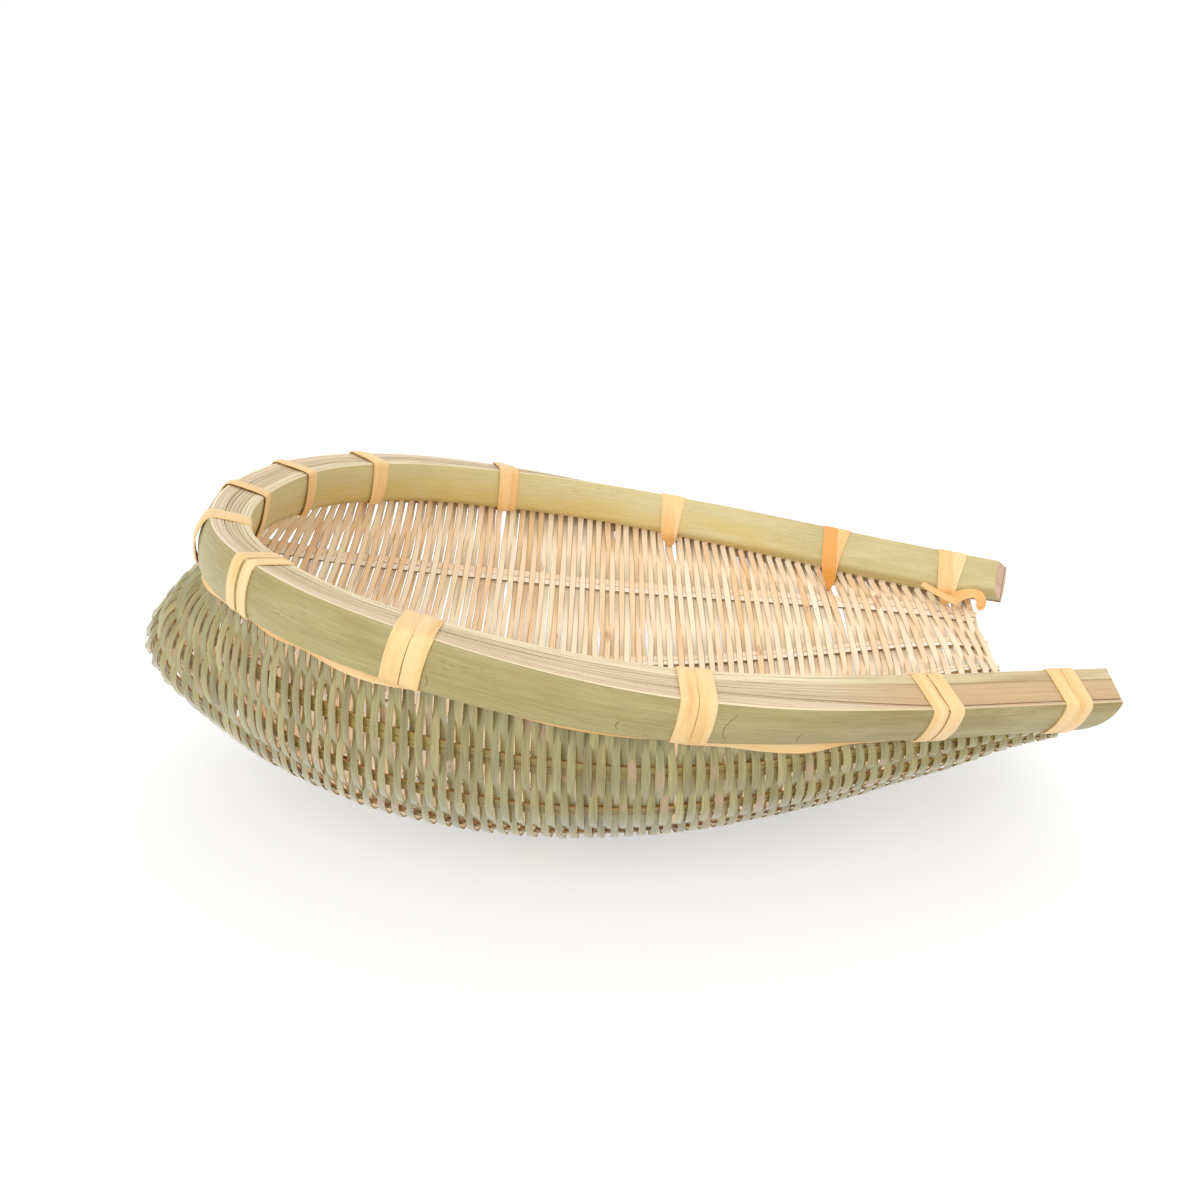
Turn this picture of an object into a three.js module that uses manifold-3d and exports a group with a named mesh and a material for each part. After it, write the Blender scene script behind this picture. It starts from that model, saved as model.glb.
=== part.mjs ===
import * as THREE from 'three';
import { mergeVertices } from 'three/addons/utils/BufferGeometryUtils.js';
import Module from 'manifold-3d';

const wasm = await Module();
wasm.setup();

// A scoop basket of bamboo: a rim of two hoops bent to a U and bound round a woven body that is open
// at the lip, between the arms. Millimetres, +Z up, +X towards the lip. The basket stands on z = 0.

// Rim: the outer top edge runs from one arm end, round the bow, to the other arm end.
const armReach = 125.0;
const bowReach = 102.2;
const rimHalfWidth = 93.7;
const armEndHeight = 42.9;
const bowHeight = 85.6;
const rimForwardShares = [1, 0.898, 0.756, 0.608, 0.464, 0.306, 0.151, 0.038, 0];
const rimWidthShares = [0.59, 0.684, 0.821, 0.945, 1, 0.951, 0.782, 0.458, 0];
const rimRiseShares = [0, 0.066, 0.166, 0.295, 0.457, 0.658, 0.845, 0.965, 1];
const rimLeanDegrees = [37.4, 35.8, 31.9, 16.2, -2.5, -13.4, -20.9];
const rimStations = 64;

// Hoops: the outer one is whole, the inner one is split into leaves round the bow.
const hoopHeight = 12.5;
const outerHoopThickness = 3.6;
const leafCount = 7;
const leafThickness = 0.75;
const kerfWidth = 0.15;
const kerfStartShare = 0.28;
const outerFaceCrown = 1.1;
const innerFaceCrown = 0.6;
const crownHeightShares = [0.22, 0.5, 0.78];
const fit = 0.3;

// Woven body: cross strips hang from hoop to hoop, and the keel is their lowest line.
const weaveThickness = 1.2;
const weaveTuck = 6.0;
const weaveTuckShares = [1, 0.5];
const shortLeaves = 2;
const lipInset = 7.3;
const lipFall = 20.43;
const bellyOverhang = 22.3;
const bellyFall = 41.0;
const restCut = 0.45;
const keelForwardShares = [1, 0.955, 0.866, 0.748, 0.616, 0.485, 0.359, 0.239, 0.110, 0];
const keelLipRiseShares = [1, 0.938, 0.683, 0.364, 0.104, 0];
const keelBellyRiseShares = [0.030, 0.155, 0.463, 1];
const bodySquareness = 1.5;
const lipSetback = 7.5;
const weaveStations = 38;
const weaveColumns = 26;

// Lengthwise strips inside the woven body, by their place across it, and the strip that edges the lip.
const warpPlaceShares = [-0.883, -0.743, -0.578, -0.353, -0.117, 0.097, 0.295, 0.526, 0.794];
const warpWidth = 3.0;
const warpThickness = 0.5;
const facetRoom = 0.25;
const warpEndShare = 0.955;
const warpStations = 26;
const lipStripShare = 0.015;
const lipGapShare = 0.005;

// Lashings: each is one flat strip wound twice round the rim. A runner joins it to the next one.
const lashingPlaceShares = [0.078, 0.219, 0.434, 0.644, 0.801, 0.905, 1];
const stripWidth = 3.7;
const stripThickness = 0.45;
const turnGap = 0.5;
const turnCount = 2;
const runnerDrop = 1.8;
const runnerWidth = 3.0;
const runnerSteps = 6;

// Knot of the last lashing, on the far arm: a loop along the arm and a tail the other way.
const knotStandOff = 0.4;
const loopReach = 12.0;
const loopDrop = 4.6;
const loopReachShares = [0, 0.35, 0.75, 1];
const loopDropShares = [0, -0.06, 0.2, 1];
const tailReach = 9.0;
const tailRise = 1.6;
const knotWidth = 2.6;

// Finest steps: a stretch of the rim or the weave over which directions are taken, and a merged length.
const placeStep = 1e-3;
const mergeDistance = 1e-4;

const innerHoopThickness = leafCount * leafThickness + (leafCount - 1) * kerfWidth;
const innerHoopStart = outerHoopThickness + fit;
const rimThickness = innerHoopStart + innerHoopThickness;
const slotEnd = innerHoopStart + shortLeaves * (leafThickness + kerfWidth);
const weaveMiddle = (innerHoopStart + slotEnd) / 2;
const slotTop = hoopHeight - weaveTuck - fit;
const bandWidth = turnCount * stripWidth + (turnCount - 1) * turnGap;

const skinGreen = new THREE.Color(0.52, 0.50, 0.26);
const skinGold = new THREE.Color(0.58, 0.50, 0.24);
const strawGreen = new THREE.Color(0.42, 0.42, 0.28);
const strawPale = new THREE.Color(0.80, 0.62, 0.42);
const strapOrange = new THREE.Color(0.88, 0.62, 0.28);

function bamboo(color, roughness) {
  return new THREE.MeshStandardMaterial({ color, roughness, metalness: 0 });
}

// Evenly spaced values become a smooth function of 0 to 1.
function smooth(values) {
  const curve = new THREE.CatmullRomCurve3(
    values.map((value) => new THREE.Vector3(value, 0, 0)), false, 'catmullrom');
  return (t) => curve.getPoint(THREE.MathUtils.clamp(t, 0, 1)).x;
}

const nearRim = rimForwardShares.map((forward, i) => new THREE.Vector3(
  THREE.MathUtils.lerp(-bowReach, armReach, forward),
  -rimHalfWidth * rimWidthShares[i],
  THREE.MathUtils.lerp(armEndHeight, bowHeight, rimRiseShares[i])));
const farRim = nearRim.slice(0, -1).reverse().map((p) => new THREE.Vector3(p.x, -p.y, p.z));
const rimCurve = new THREE.CatmullRomCurve3([...nearRim, ...farRim], false, 'catmullrom');
const leanAt = smooth([...rimLeanDegrees, ...rimLeanDegrees.slice(0, -1).reverse()]);

// Directions at a place on the rim: 0 is the near arm end, 0.5 the bow and 1 the far arm end.
function rimFrame(place) {
  const before = Math.max(place - placeStep, 0);
  const after = Math.min(place + placeStep, 1);
  const from = rimCurve.getPoint(before);
  const to = rimCurve.getPoint(after);
  const along = to.clone().sub(from).normalize();
  const inward = new THREE.Vector3(along.y, -along.x, 0).normalize();
  const up = new THREE.Vector3(0, 0, 1).addScaledVector(along, -along.z).normalize();
  const lean = THREE.MathUtils.degToRad(leanAt(place));
  return {
    along,
    across: inward.clone().multiplyScalar(Math.cos(lean)).addScaledVector(up, Math.sin(lean)),
    down: up.clone().multiplyScalar(-Math.cos(lean)).addScaledVector(inward, Math.sin(lean)),
    speed: to.distanceTo(from) / (after - before),
  };
}

// A point of the rim's section: across from the outer face inwards, and down from the top.
function onRim(place, across, down) {
  const frame = rimFrame(place);
  return rimCurve.getPoint(THREE.MathUtils.clamp(place, 0, 1))
    .addScaledVector(frame.across, across)
    .addScaledVector(frame.down, down);
}

function movedAlong(place, distance) {
  return place + distance / rimFrame(place).speed;
}

const lipPlace = lipSetback / rimFrame(0).speed;

// The near and far ends of the cross strip at a station: 0 is the lip and 1 the bow.
function hangPlace(station, side) {
  const near = THREE.MathUtils.lerp(lipPlace, 0.5, station);
  return side < 0 ? near : 1 - near;
}

// The keel falls from the lip to the resting place and rises again to the belly behind the bow.
const keelBase = weaveThickness / 2 - restCut;
const keelRises = [
  ...keelLipRiseShares.map((share) => share * (armEndHeight - lipFall)),
  ...keelBellyRiseShares.map((share) => share * (bowHeight - bellyFall)),
];
const keelTop = onRim(0.5, weaveMiddle, hoopHeight);
const keelCurve = new THREE.CatmullRomCurve3([
  ...keelRises.map((rise, i) => new THREE.Vector3(
    THREE.MathUtils.lerp(-bowReach - bellyOverhang, armReach - lipInset, keelForwardShares[i]),
    0,
    keelBase + rise)),
  keelTop], false, 'catmullrom');

// Middle surface of the weave. Across runs from -1 on the near hoop, over 0 at the keel, to 1.
function onMiddle(station, across) {
  const hang = onRim(hangPlace(station, -1), weaveMiddle, hoopHeight);
  const keel = keelCurve.getPoint(station);
  const angle = Math.PI / 2 * Math.pow(Math.abs(across), bodySquareness);
  const spread = Math.pow(Math.sin(angle), 1 / bodySquareness) * Math.sign(across);
  const drop = Math.cos(angle);
  return new THREE.Vector3(
    THREE.MathUtils.lerp(hang.x, keel.x, drop),
    -hang.y * spread,
    THREE.MathUtils.lerp(hang.z, keel.z, drop));
}

// Offset is positive towards the inside of the basket.
function onWeave(station, across, offset) {
  const next = THREE.MathUtils.clamp(station + placeStep, 2 * placeStep, 1);
  const du = onMiddle(next, across).sub(onMiddle(next - 2 * placeStep, across));
  const dv = onMiddle(station, across + placeStep).sub(onMiddle(station, across - placeStep));
  return onMiddle(station, across).addScaledVector(dv.cross(du).normalize(), offset);
}

// How far across the weave a point lies that hangs at a depth below the hoop on one side.
function acrossAtDepth(station, side, depth) {
  const hang = onRim(hangPlace(station, -1), weaveMiddle, hoopHeight);
  const keel = keelCurve.getPoint(station);
  const fall = Math.hypot(keel.x - hang.x, keel.z - hang.z);
  return side * Math.pow(Math.atan2(fall, depth) / (Math.PI / 2), 1 / bodySquareness);
}

function indexed(positions, triangles) {
  const geometry = new THREE.BufferGeometry();
  geometry.setAttribute('position', new THREE.Float32BufferAttribute(positions, 3));
  geometry.setIndex(triangles);
  return geometry;
}

function signedVolume(positions, triangles) {
  const [a, b, c] = [0, 1, 2].map(() => new THREE.Vector3());
  let volume = 0;
  for (let i = 0; i < triangles.length; i += 3) {
    a.fromArray(positions, triangles[i] * 3);
    b.fromArray(positions, triangles[i + 1] * 3);
    c.fromArray(positions, triangles[i + 2] * 3);
    volume += a.dot(b.cross(c)) / 6;
  }
  return volume;
}

// Turns a closed shape's faces outwards.
function outward(positions, triangles) {
  if (signedVolume(positions, triangles) > 0) {
    return indexed(positions, triangles);
  }
  const turned = [];
  for (let i = 0; i < triangles.length; i += 3) {
    turned.push(triangles[i], triangles[i + 2], triangles[i + 1]);
  }
  return indexed(positions, turned);
}

// Triangles between rings of points, each a loop of the same count.
function walls(rings) {
  const triangles = [];
  for (let r = 0; r < rings.length - 1; r += 1) {
    rings[r].forEach((a, i) => {
      const next = (i + 1) % rings[r].length;
      const [b, c, d] = [rings[r][next], rings[r + 1][next], rings[r + 1][i]];
      triangles.push([a, b, c], [a, c, d]);
    });
  }
  return triangles;
}

// A fan over a convex ring, from its second point. It closes either the first or the last ring.
function cap(ring, closesLast) {
  const triangles = [];
  for (let i = 2; i < ring.length; i += 1) {
    const [b, c] = [ring[i], ring[(i + 1) % ring.length]];
    triangles.push(closesLast ? [ring[1], b, c] : [ring[1], c, b]);
  }
  return triangles;
}

function closed(triangles) {
  const positions = triangles.flat().flatMap((p) => [p.x, p.y, p.z]);
  const loose = indexed(positions, positions.slice(0, positions.length / 3).map((_, i) => i));
  const merged = mergeVertices(loose, mergeDistance);
  return outward(Array.from(merged.attributes.position.array), Array.from(merged.index.array));
}

// Joins rings of points into one solid with capped ends.
function loft(rings) {
  return closed([...walls(rings), ...cap(rings[0], false), ...cap(rings[rings.length - 1], true)]);
}

function toSolid(geometry) {
  const plain = geometry.clone();
  for (const name of ['normal', 'uv']) {
    plain.deleteAttribute(name);
  }
  const merged = mergeVertices(plain, mergeDistance);
  const vertProperties = new Float32Array(merged.attributes.position.array);
  const triVerts = new Uint32Array(merged.index.array);
  return new wasm.Manifold(new wasm.Mesh({ numProp: 3, vertProperties, triVerts }));
}

function toGeometry(solid) {
  const mesh = solid.getMesh();
  return indexed(Array.from(mesh.vertProperties), Array.from(mesh.triVerts));
}

function cut(geometry, cutters) {
  let solid = toSolid(geometry);
  for (const cutter of cutters) {
    solid = solid.subtract(toSolid(cutter));
  }
  return toGeometry(solid);
}

const basket = new THREE.Group();

function add(name, geometry, material) {
  const mesh = new THREE.Mesh(geometry, material);
  mesh.name = name;
  basket.add(mesh);
}

// Rings of a section outline, given as across and down pairs, along a stretch of the rim.
function rimRings(outline, firstStation, lastStation) {
  const rings = [];
  for (let i = firstStation; i <= lastStation; i += 1) {
    rings.push(outline.map(([across, down]) => onRim(i / rimStations, across, down)));
  }
  return rings;
}

// A convex face: its height shares and how far each stands proud of the chord.
function crownedFace(edge, crown) {
  return crownHeightShares.map((share) => [
    edge + crown * (1 - Math.pow(2 * share - 1, 2)), hoopHeight * share]);
}

const outerFace = crownedFace(0, -outerFaceCrown);
const innerFace = crownedFace(rimThickness, innerFaceCrown);

function outerHoop() {
  const outline = [
    [0, 0], [outerHoopThickness, 0], [outerHoopThickness, hoopHeight], [0, hoopHeight],
    ...outerFace.slice().reverse(),
  ];
  return loft(rimRings(outline, 0, rimStations));
}

// A leaf's two sides, and how far down it reaches: the leaves beside the weave's edge are short.
function leaf(index) {
  const start = innerHoopStart + index * (leafThickness + kerfWidth);
  return { start, end: start + leafThickness, bottom: index < shortLeaves ? slotTop : hoopHeight };
}

function leafOutline(index) {
  const { start, end, bottom } = leaf(index);
  const outline = [[start, 0], [end, 0]];
  if (index === leafCount - 1) {
    outline.push(...innerFace);
  }
  outline.push([end, bottom], [start, bottom]);
  if (index === shortLeaves) {
    outline.push([start, slotTop]);
  }
  return outline;
}

function kerfOutline(index) {
  const { end, bottom } = leaf(index);
  const { start } = leaf(index + 1);
  return [[end, 0], [start, 0], [start, bottom], [end, bottom]];
}

// The section of the unsplit arms, with every corner that the leaves have.
function armOutline() {
  const leaves = [...Array(leafCount).keys()].map(leaf);
  const below = leaves.slice().reverse().flatMap(({ start, end, bottom }) => [
    [end, bottom], [start, bottom]]);
  below.splice(2 * (leafCount - shortLeaves), 0, [slotEnd, slotTop]);
  return [...leaves.flatMap(({ start, end }) => [[start, 0], [end, 0]]), ...innerFace, ...below];
}

// The inner hoop is whole along the arms and split into leaves round the bow.
function innerHoop() {
  const split = Math.round(rimStations * kerfStartShare / 2);
  const rejoin = rimStations - split;
  const leaves = [...Array(leafCount).keys()].map(leafOutline);
  const kerfs = [...Array(leafCount - 1).keys()].map(kerfOutline);
  const capsAt = (outlines, station, closesLast) => outlines.flatMap(
    (outline) => cap(rimRings(outline, station, station)[0], closesLast));
  return closed([
    ...walls(rimRings(armOutline(), 0, split)),
    ...walls(rimRings(armOutline(), rejoin, rimStations)),
    ...leaves.flatMap((outline) => walls(rimRings(outline, split, rejoin))),
    ...capsAt(kerfs, split, true),
    ...capsAt(kerfs, rejoin, false),
    ...capsAt([...leaves, ...kerfs], 0, false),
    ...capsAt([...leaves, ...kerfs], rimStations, true),
  ]);
}

// Gives an open sheet its wall, half on each side, and closes it round its border.
function thicken(sheet, thickness) {
  const merged = mergeVertices(sheet, mergeDistance);
  const source = Array.from(merged.index.array);
  const faces = [];
  for (let i = 0; i < source.length; i += 3) {
    const [a, b, c] = source.slice(i, i + 3);
    if (a !== b && b !== c && c !== a) {
      faces.push([a, b, c]);
    }
  }
  merged.setIndex(faces.flat());
  merged.computeVertexNormals();
  const middle = merged.attributes.position;
  const normal = merged.attributes.normal;
  const positions = [];
  for (const side of [1, -1]) {
    for (let i = 0; i < middle.count; i += 1) {
      const p = new THREE.Vector3().fromBufferAttribute(middle, i);
      const n = new THREE.Vector3().fromBufferAttribute(normal, i);
      positions.push(...p.addScaledVector(n, side * thickness / 2));
    }
  }
  const count = middle.count;
  const edges = new Set();
  for (const [a, b, c] of faces) {
    for (const [from, to] of [[a, b], [b, c], [c, a]]) {
      edges.add(`${from}_${to}`);
    }
  }
  const triangles = [];
  for (const [a, b, c] of faces) {
    triangles.push(a, b, c, a + count, c + count, b + count);
    for (const [from, to] of [[a, b], [b, c], [c, a]]) {
      if (!edges.has(`${to}_${from}`)) {
        triangles.push(to, from, from + count, to, from + count, to + count);
      }
    }
  }
  return outward(positions, triangles);
}

// The grid of the middle surface, with both of its edges tucked up between the hoops.
function weaveSheet() {
  const first = lipStripShare + lipGapShare;
  const positions = [];
  for (let i = 0; i <= weaveStations; i += 1) {
    const station = THREE.MathUtils.lerp(first, 1, i / weaveStations);
    const tucked = (side) => weaveTuckShares.map((share) => onRim(
      hangPlace(station, side), weaveMiddle, hoopHeight - weaveTuck * share));
    const row = tucked(-1);
    for (let j = 0; j <= weaveColumns; j += 1) {
      row.push(onMiddle(station, 2 * j / weaveColumns - 1));
    }
    row.push(...tucked(1).reverse());
    positions.push(...row.flatMap((p) => [p.x, p.y, p.z]));
  }
  const across = weaveColumns + 1 + 2 * weaveTuckShares.length;
  const triangles = [];
  for (let i = 0; i < weaveStations; i += 1) {
    for (let j = 0; j < across - 1; j += 1) {
      const a = i * across + j;
      triangles.push(a, a + across, a + across + 1, a, a + across + 1, a + 1);
    }
  }
  return indexed(positions, triangles);
}

const lashingPlaces = [
  ...lashingPlaceShares.map((share) => share / 2),
  ...lashingPlaceShares.slice(0, -1).reverse().map((share) => 1 - share / 2),
];

// Room that a lashing needs where it passes under the rim and through the weave.
function lashingRoom(place) {
  const reach = bandWidth / 2 + fit;
  const rings = [-reach, 0, reach].map((distance) => {
    const here = movedAlong(place, distance);
    return [
      onRim(here, 0, hoopHeight),
      onRim(here, rimThickness, hoopHeight),
      onRim(here, rimThickness, hoopHeight + 2 * fit + stripThickness),
      onRim(here, 0, hoopHeight + 2 * fit + stripThickness),
    ];
  });
  return loft(rings);
}

function weftSkin() {
  const ground = new THREE.BoxGeometry(2 * armReach, 2 * rimHalfWidth, hoopHeight);
  ground.translate(0, 0, -hoopHeight / 2);
  return cut(thicken(weaveSheet(), weaveThickness), [...lashingPlaces.map(lashingRoom), ground]);
}

// A flat strip on the weave: each place gives its two edges as station and across.
function stripOnWeave(edges, lowOffset, highOffset) {
  const rings = edges.map(([a, b]) => [
    onWeave(a[0], a[1], lowOffset), onWeave(b[0], b[1], lowOffset),
    onWeave(b[0], b[1], highOffset), onWeave(a[0], a[1], highOffset)]);
  return loft(rings);
}

function warp(place) {
  const first = lipStripShare + lipGapShare;
  const edges = [];
  for (let i = 0; i <= warpStations; i += 1) {
    const station = THREE.MathUtils.lerp(first, warpEndShare, i / warpStations);
    const pace = onMiddle(station, place + placeStep).distanceTo(onMiddle(station, place - placeStep));
    const half = warpWidth * placeStep / pace;
    edges.push([[station, place - half], [station, place + half]]);
  }
  const low = weaveThickness / 2 + fit + facetRoom;
  return stripOnWeave(edges, low, low + warpThickness);
}

function lipStrip() {
  const edges = [];
  const reach = acrossAtDepth(0, 1, 2 * fit + stripThickness);
  for (let j = 0; j <= weaveColumns; j += 1) {
    const across = reach * (2 * j / weaveColumns - 1);
    edges.push([[0, across], [lipStripShare, across]]);
  }
  return stripOnWeave(edges, -weaveThickness / 2, weaveThickness / 2);
}

// Points round the rim's section, with the way that the strip faces there.
const cornerWays = { inner: [1, 0], outer: [-1, 0], top: [0, -1], bottom: [0, 1] };
const sectionTrack = [
  { at: [rimThickness, hoopHeight], way: cornerWays.inner },
  ...innerFace.slice().reverse().map((at) => ({ at, way: cornerWays.inner })),
  { at: [rimThickness, 0], way: cornerWays.inner },
  { at: [rimThickness, 0], way: cornerWays.top },
  { at: [0, 0], way: cornerWays.top },
  { at: [0, 0], way: cornerWays.outer },
  ...outerFace.map((at) => ({ at, way: cornerWays.outer })),
  { at: [0, hoopHeight], way: cornerWays.outer },
];

// One lashing: each turn goes up the inner face, over the top and down the outer face. Between two
// turns the strip crosses below the rim to the next lane.
function lashingTrack() {
  const stops = [];
  for (let turn = 0; turn < turnCount; turn += 1) {
    const shift = (stripWidth - bandWidth) / 2 + turn * (stripWidth + turnGap);
    if (turn > 0) {
      stops.push({ at: [rimThickness, hoopHeight], way: cornerWays.bottom, shift });
    }
    stops.push(...sectionTrack.map((stop) => ({ ...stop, shift })));
    if (turn < turnCount - 1) {
      stops.push({ at: [0, hoopHeight], way: cornerWays.bottom, shift });
    }
  }
  return stops;
}

function lashing(place) {
  const corner = ({ at, way }, here, lift) => onRim(
    here, at[0] + way[0] * lift, at[1] + way[1] * lift);
  const rings = lashingTrack().map((stop) => {
    const left = movedAlong(place, stop.shift - stripWidth / 2);
    const right = movedAlong(place, stop.shift + stripWidth / 2);
    return [
      corner(stop, left, fit), corner(stop, right, fit),
      corner(stop, right, fit + stripThickness), corner(stop, left, fit + stripThickness)];
  });
  return loft(rings);
}

// Least gap between neighbouring turns of a lashing, measured on points along their facing edges.
function leastTurnGap(place) {
  const edge = (side) => sectionTrack.map(({ at, way }) => onRim(
    movedAlong(place, side * turnGap / 2), at[0] + way[0] * fit, at[1] + way[1] * fit));
  const [before, after] = [edge(-1), edge(1)];
  return Math.min(...before.flatMap((p) => after.map((q) => p.distanceTo(q))));
}

// Station of the weave at a place on the rim, and the side that it is on.
function weaveStation(place) {
  const side = place < 0.5 ? -1 : 1;
  const near = Math.min(place, 1 - place);
  return { side, station: (near - lipPlace) / (0.5 - lipPlace) };
}

function runner(from, to) {
  const clear = bandWidth / 2 + fit + turnGap;
  const start = movedAlong(from, clear);
  const end = movedAlong(to, -clear);
  const edges = [];
  for (let i = 0; i <= runnerSteps; i += 1) {
    const { side, station } = weaveStation(THREE.MathUtils.lerp(start, end, i / runnerSteps));
    edges.push([runnerDrop, runnerDrop + runnerWidth].map((depth) => [
      station, acrossAtDepth(station, side, depth)]));
  }
  const low = weaveThickness / 2 + fit;
  return stripOnWeave(edges, -low - stripThickness, -low);
}

// A flat strip through stops given as distance along the rim, across and down, standing on edge.
function freeStrip(place, stops, width) {
  const rings = stops.map(([distance, across, down]) => {
    const here = movedAlong(place, distance);
    return [
      onRim(here, across, down), onRim(here, across, down + width),
      onRim(here, across + stripThickness, down + width), onRim(here, across + stripThickness, down)];
  });
  return loft(rings);
}

const knotAcross = rimThickness + innerFaceCrown + fit + stripThickness + knotStandOff;
const knotTop = hoopHeight - knotWidth;

function knotLoop(place) {
  const stops = loopReachShares.map((share, i) => [
    loopReach * share, knotAcross, knotTop + loopDrop * loopDropShares[i]]);
  return freeStrip(place, stops, knotWidth);
}

function knotTail(place) {
  return freeStrip(place, [
    [-fit - tailReach, knotAcross, knotTop - tailRise],
    [-fit, knotAcross, knotTop + fit],
  ], knotWidth / 2);
}

const skinFinish = bamboo(skinGreen, 0.45);
const goldFinish = bamboo(skinGold, 0.45);
const weaveFinish = bamboo(strawGreen, 0.6);
const warpFinish = bamboo(strawPale, 0.6);
const strapFinish = bamboo(strapOrange, 0.5);

function numbered(name, index) {
  return `${name}_${String(index + 1).padStart(2, '0')}`;
}

add('outer_hoop', outerHoop(), skinFinish);
add('inner_hoop', innerHoop(), goldFinish);
add('weft_skin', weftSkin(), weaveFinish);
warpPlaceShares.forEach((place, i) => add(numbered('warp', i), warp(place), warpFinish));
add('lip_weft', lipStrip(), weaveFinish);
lashingPlaces.forEach((place, i) => add(numbered('lashing', i), lashing(place), strapFinish));
lashingPlaces.slice(1).forEach((place, i) => add(
  numbered('runner', i), runner(lashingPlaces[i], place), strapFinish));
const lastLashing = lashingPlaces[lashingPlaces.length - 1];
add('knot_loop', knotLoop(lastLashing), strapFinish);
add('knot_tail', knotTail(lastLashing), strapFinish);

const turnGaps = lashingPlaces.map(leastTurnGap);
console.log(`least gap between lashing turns ${Math.min(...turnGaps).toFixed(2)} mm`);

export default basket;
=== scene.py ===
"""Looks of a bamboo scoop basket: a woven body hung in a rim of two hoops, bound with split strips.

Lengths are metres, in the basket's own frame: +X towards the open lip, +Y across it and +Z up. The
basket stands on z = 0.
"""

from __future__ import annotations

import logging
import math
import random
from collections.abc import Sequence
from dataclasses import dataclass, field
from enum import IntEnum
from functools import lru_cache

import bmesh
import bpy
from mathutils import Matrix, Vector, noise


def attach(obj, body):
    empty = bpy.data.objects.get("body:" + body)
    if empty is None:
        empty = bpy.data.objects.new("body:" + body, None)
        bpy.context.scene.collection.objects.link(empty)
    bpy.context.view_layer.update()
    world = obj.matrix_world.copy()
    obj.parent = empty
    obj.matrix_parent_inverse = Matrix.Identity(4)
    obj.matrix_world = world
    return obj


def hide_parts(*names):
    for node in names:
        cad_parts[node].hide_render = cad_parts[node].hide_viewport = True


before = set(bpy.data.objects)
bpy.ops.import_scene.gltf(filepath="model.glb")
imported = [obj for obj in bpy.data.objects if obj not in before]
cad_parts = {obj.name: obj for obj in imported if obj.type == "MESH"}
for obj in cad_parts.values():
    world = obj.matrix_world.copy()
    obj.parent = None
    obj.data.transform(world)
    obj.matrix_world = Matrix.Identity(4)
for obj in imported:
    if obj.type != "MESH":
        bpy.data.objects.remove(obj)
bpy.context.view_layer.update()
LOG = logging.getLogger("basket")

MM = 0.001
BODY = "root"
UV_NAME = "along_and_round"
STRIP_NAME = "strip"
# The split value: on the hoops, how far their leaves stand apart; on the strips and lashings, how much of
# their shade colour they take, which on the strips is painted shade.
PARTED_OR_SHADE_NAME = "split"
PLACE_DIGITS = 7
STORE_SIZE = 20000
Colour = tuple[int, int, int]
Stops = tuple[tuple[float, Colour], ...]


class Side(IntEnum):
    """A side of the basket, as seen by the camera. It counts as the sign of a share across."""

    NEAR = -1
    FAR = 1


class HoopSlot(IntEnum):
    """The material slots of a hoop."""

    SKIN = 0
    CUT = 1
    MARK = 2
    END = 3


class StripSlot(IntEnum):
    """The material slots of a split strip."""

    CORE = 0
    SKIN = 1
    EDGE = 2


def lerp(a: float, b: float, share: float) -> float:
    """The value a share of the way from a to b."""
    return a + (b - a) * share


def smoothstep(low: float, high: float, value: float) -> float:
    """Rises softly from 0 at low to 1 at high."""
    t = min(max((value - low) / (high - low), 0.0), 1.0)
    return t * t * (3 - 2 * t)


def wander(seed: float, place: float) -> float:
    """A smooth random value between about -1 and 1 that depends on a seed and a place."""
    return noise.noise(Vector((seed * 17.31, place, seed * 5.7)))


@dataclass(frozen=True)
class Line:
    """A smooth line through evenly counted points."""

    points: tuple[Vector, ...]

    def at(self, share: float) -> Vector:
        """The point at a share of the way.

        Args:
            share: the share, held between 0 and 1.

        Returns:
            The point, on a curve that passes evenly through all the points.
        """
        last = len(self.points) - 1
        along = min(max(share, 0.0), 1.0) * last
        i = min(int(along), last - 1)
        t = along - i
        p1, p2 = self.points[i], self.points[i + 1]
        p0 = self.points[i - 1] if i > 0 else 2 * p1 - p2
        p3 = self.points[i + 2] if i + 2 <= last else 2 * p2 - p1
        v1, v2 = (p2 - p0) / 2, (p3 - p1) / 2
        return p1 + v1 * t + (3 * (p2 - p1) - 2 * v1 - v2) * t ** 2 + (2 * (p1 - p2) + v1 + v2) * t ** 3


def line_through(rows: Sequence[Sequence[float]]) -> Line:
    """A smooth line through rows of numbers."""
    return Line(tuple(Vector(row) for row in rows))


@dataclass(frozen=True)
class Section:
    """The rim's section at a place: its outer top edge and the directions there."""

    corner: Vector
    along: Vector
    across: Vector
    down: Vector
    speed: float


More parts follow.
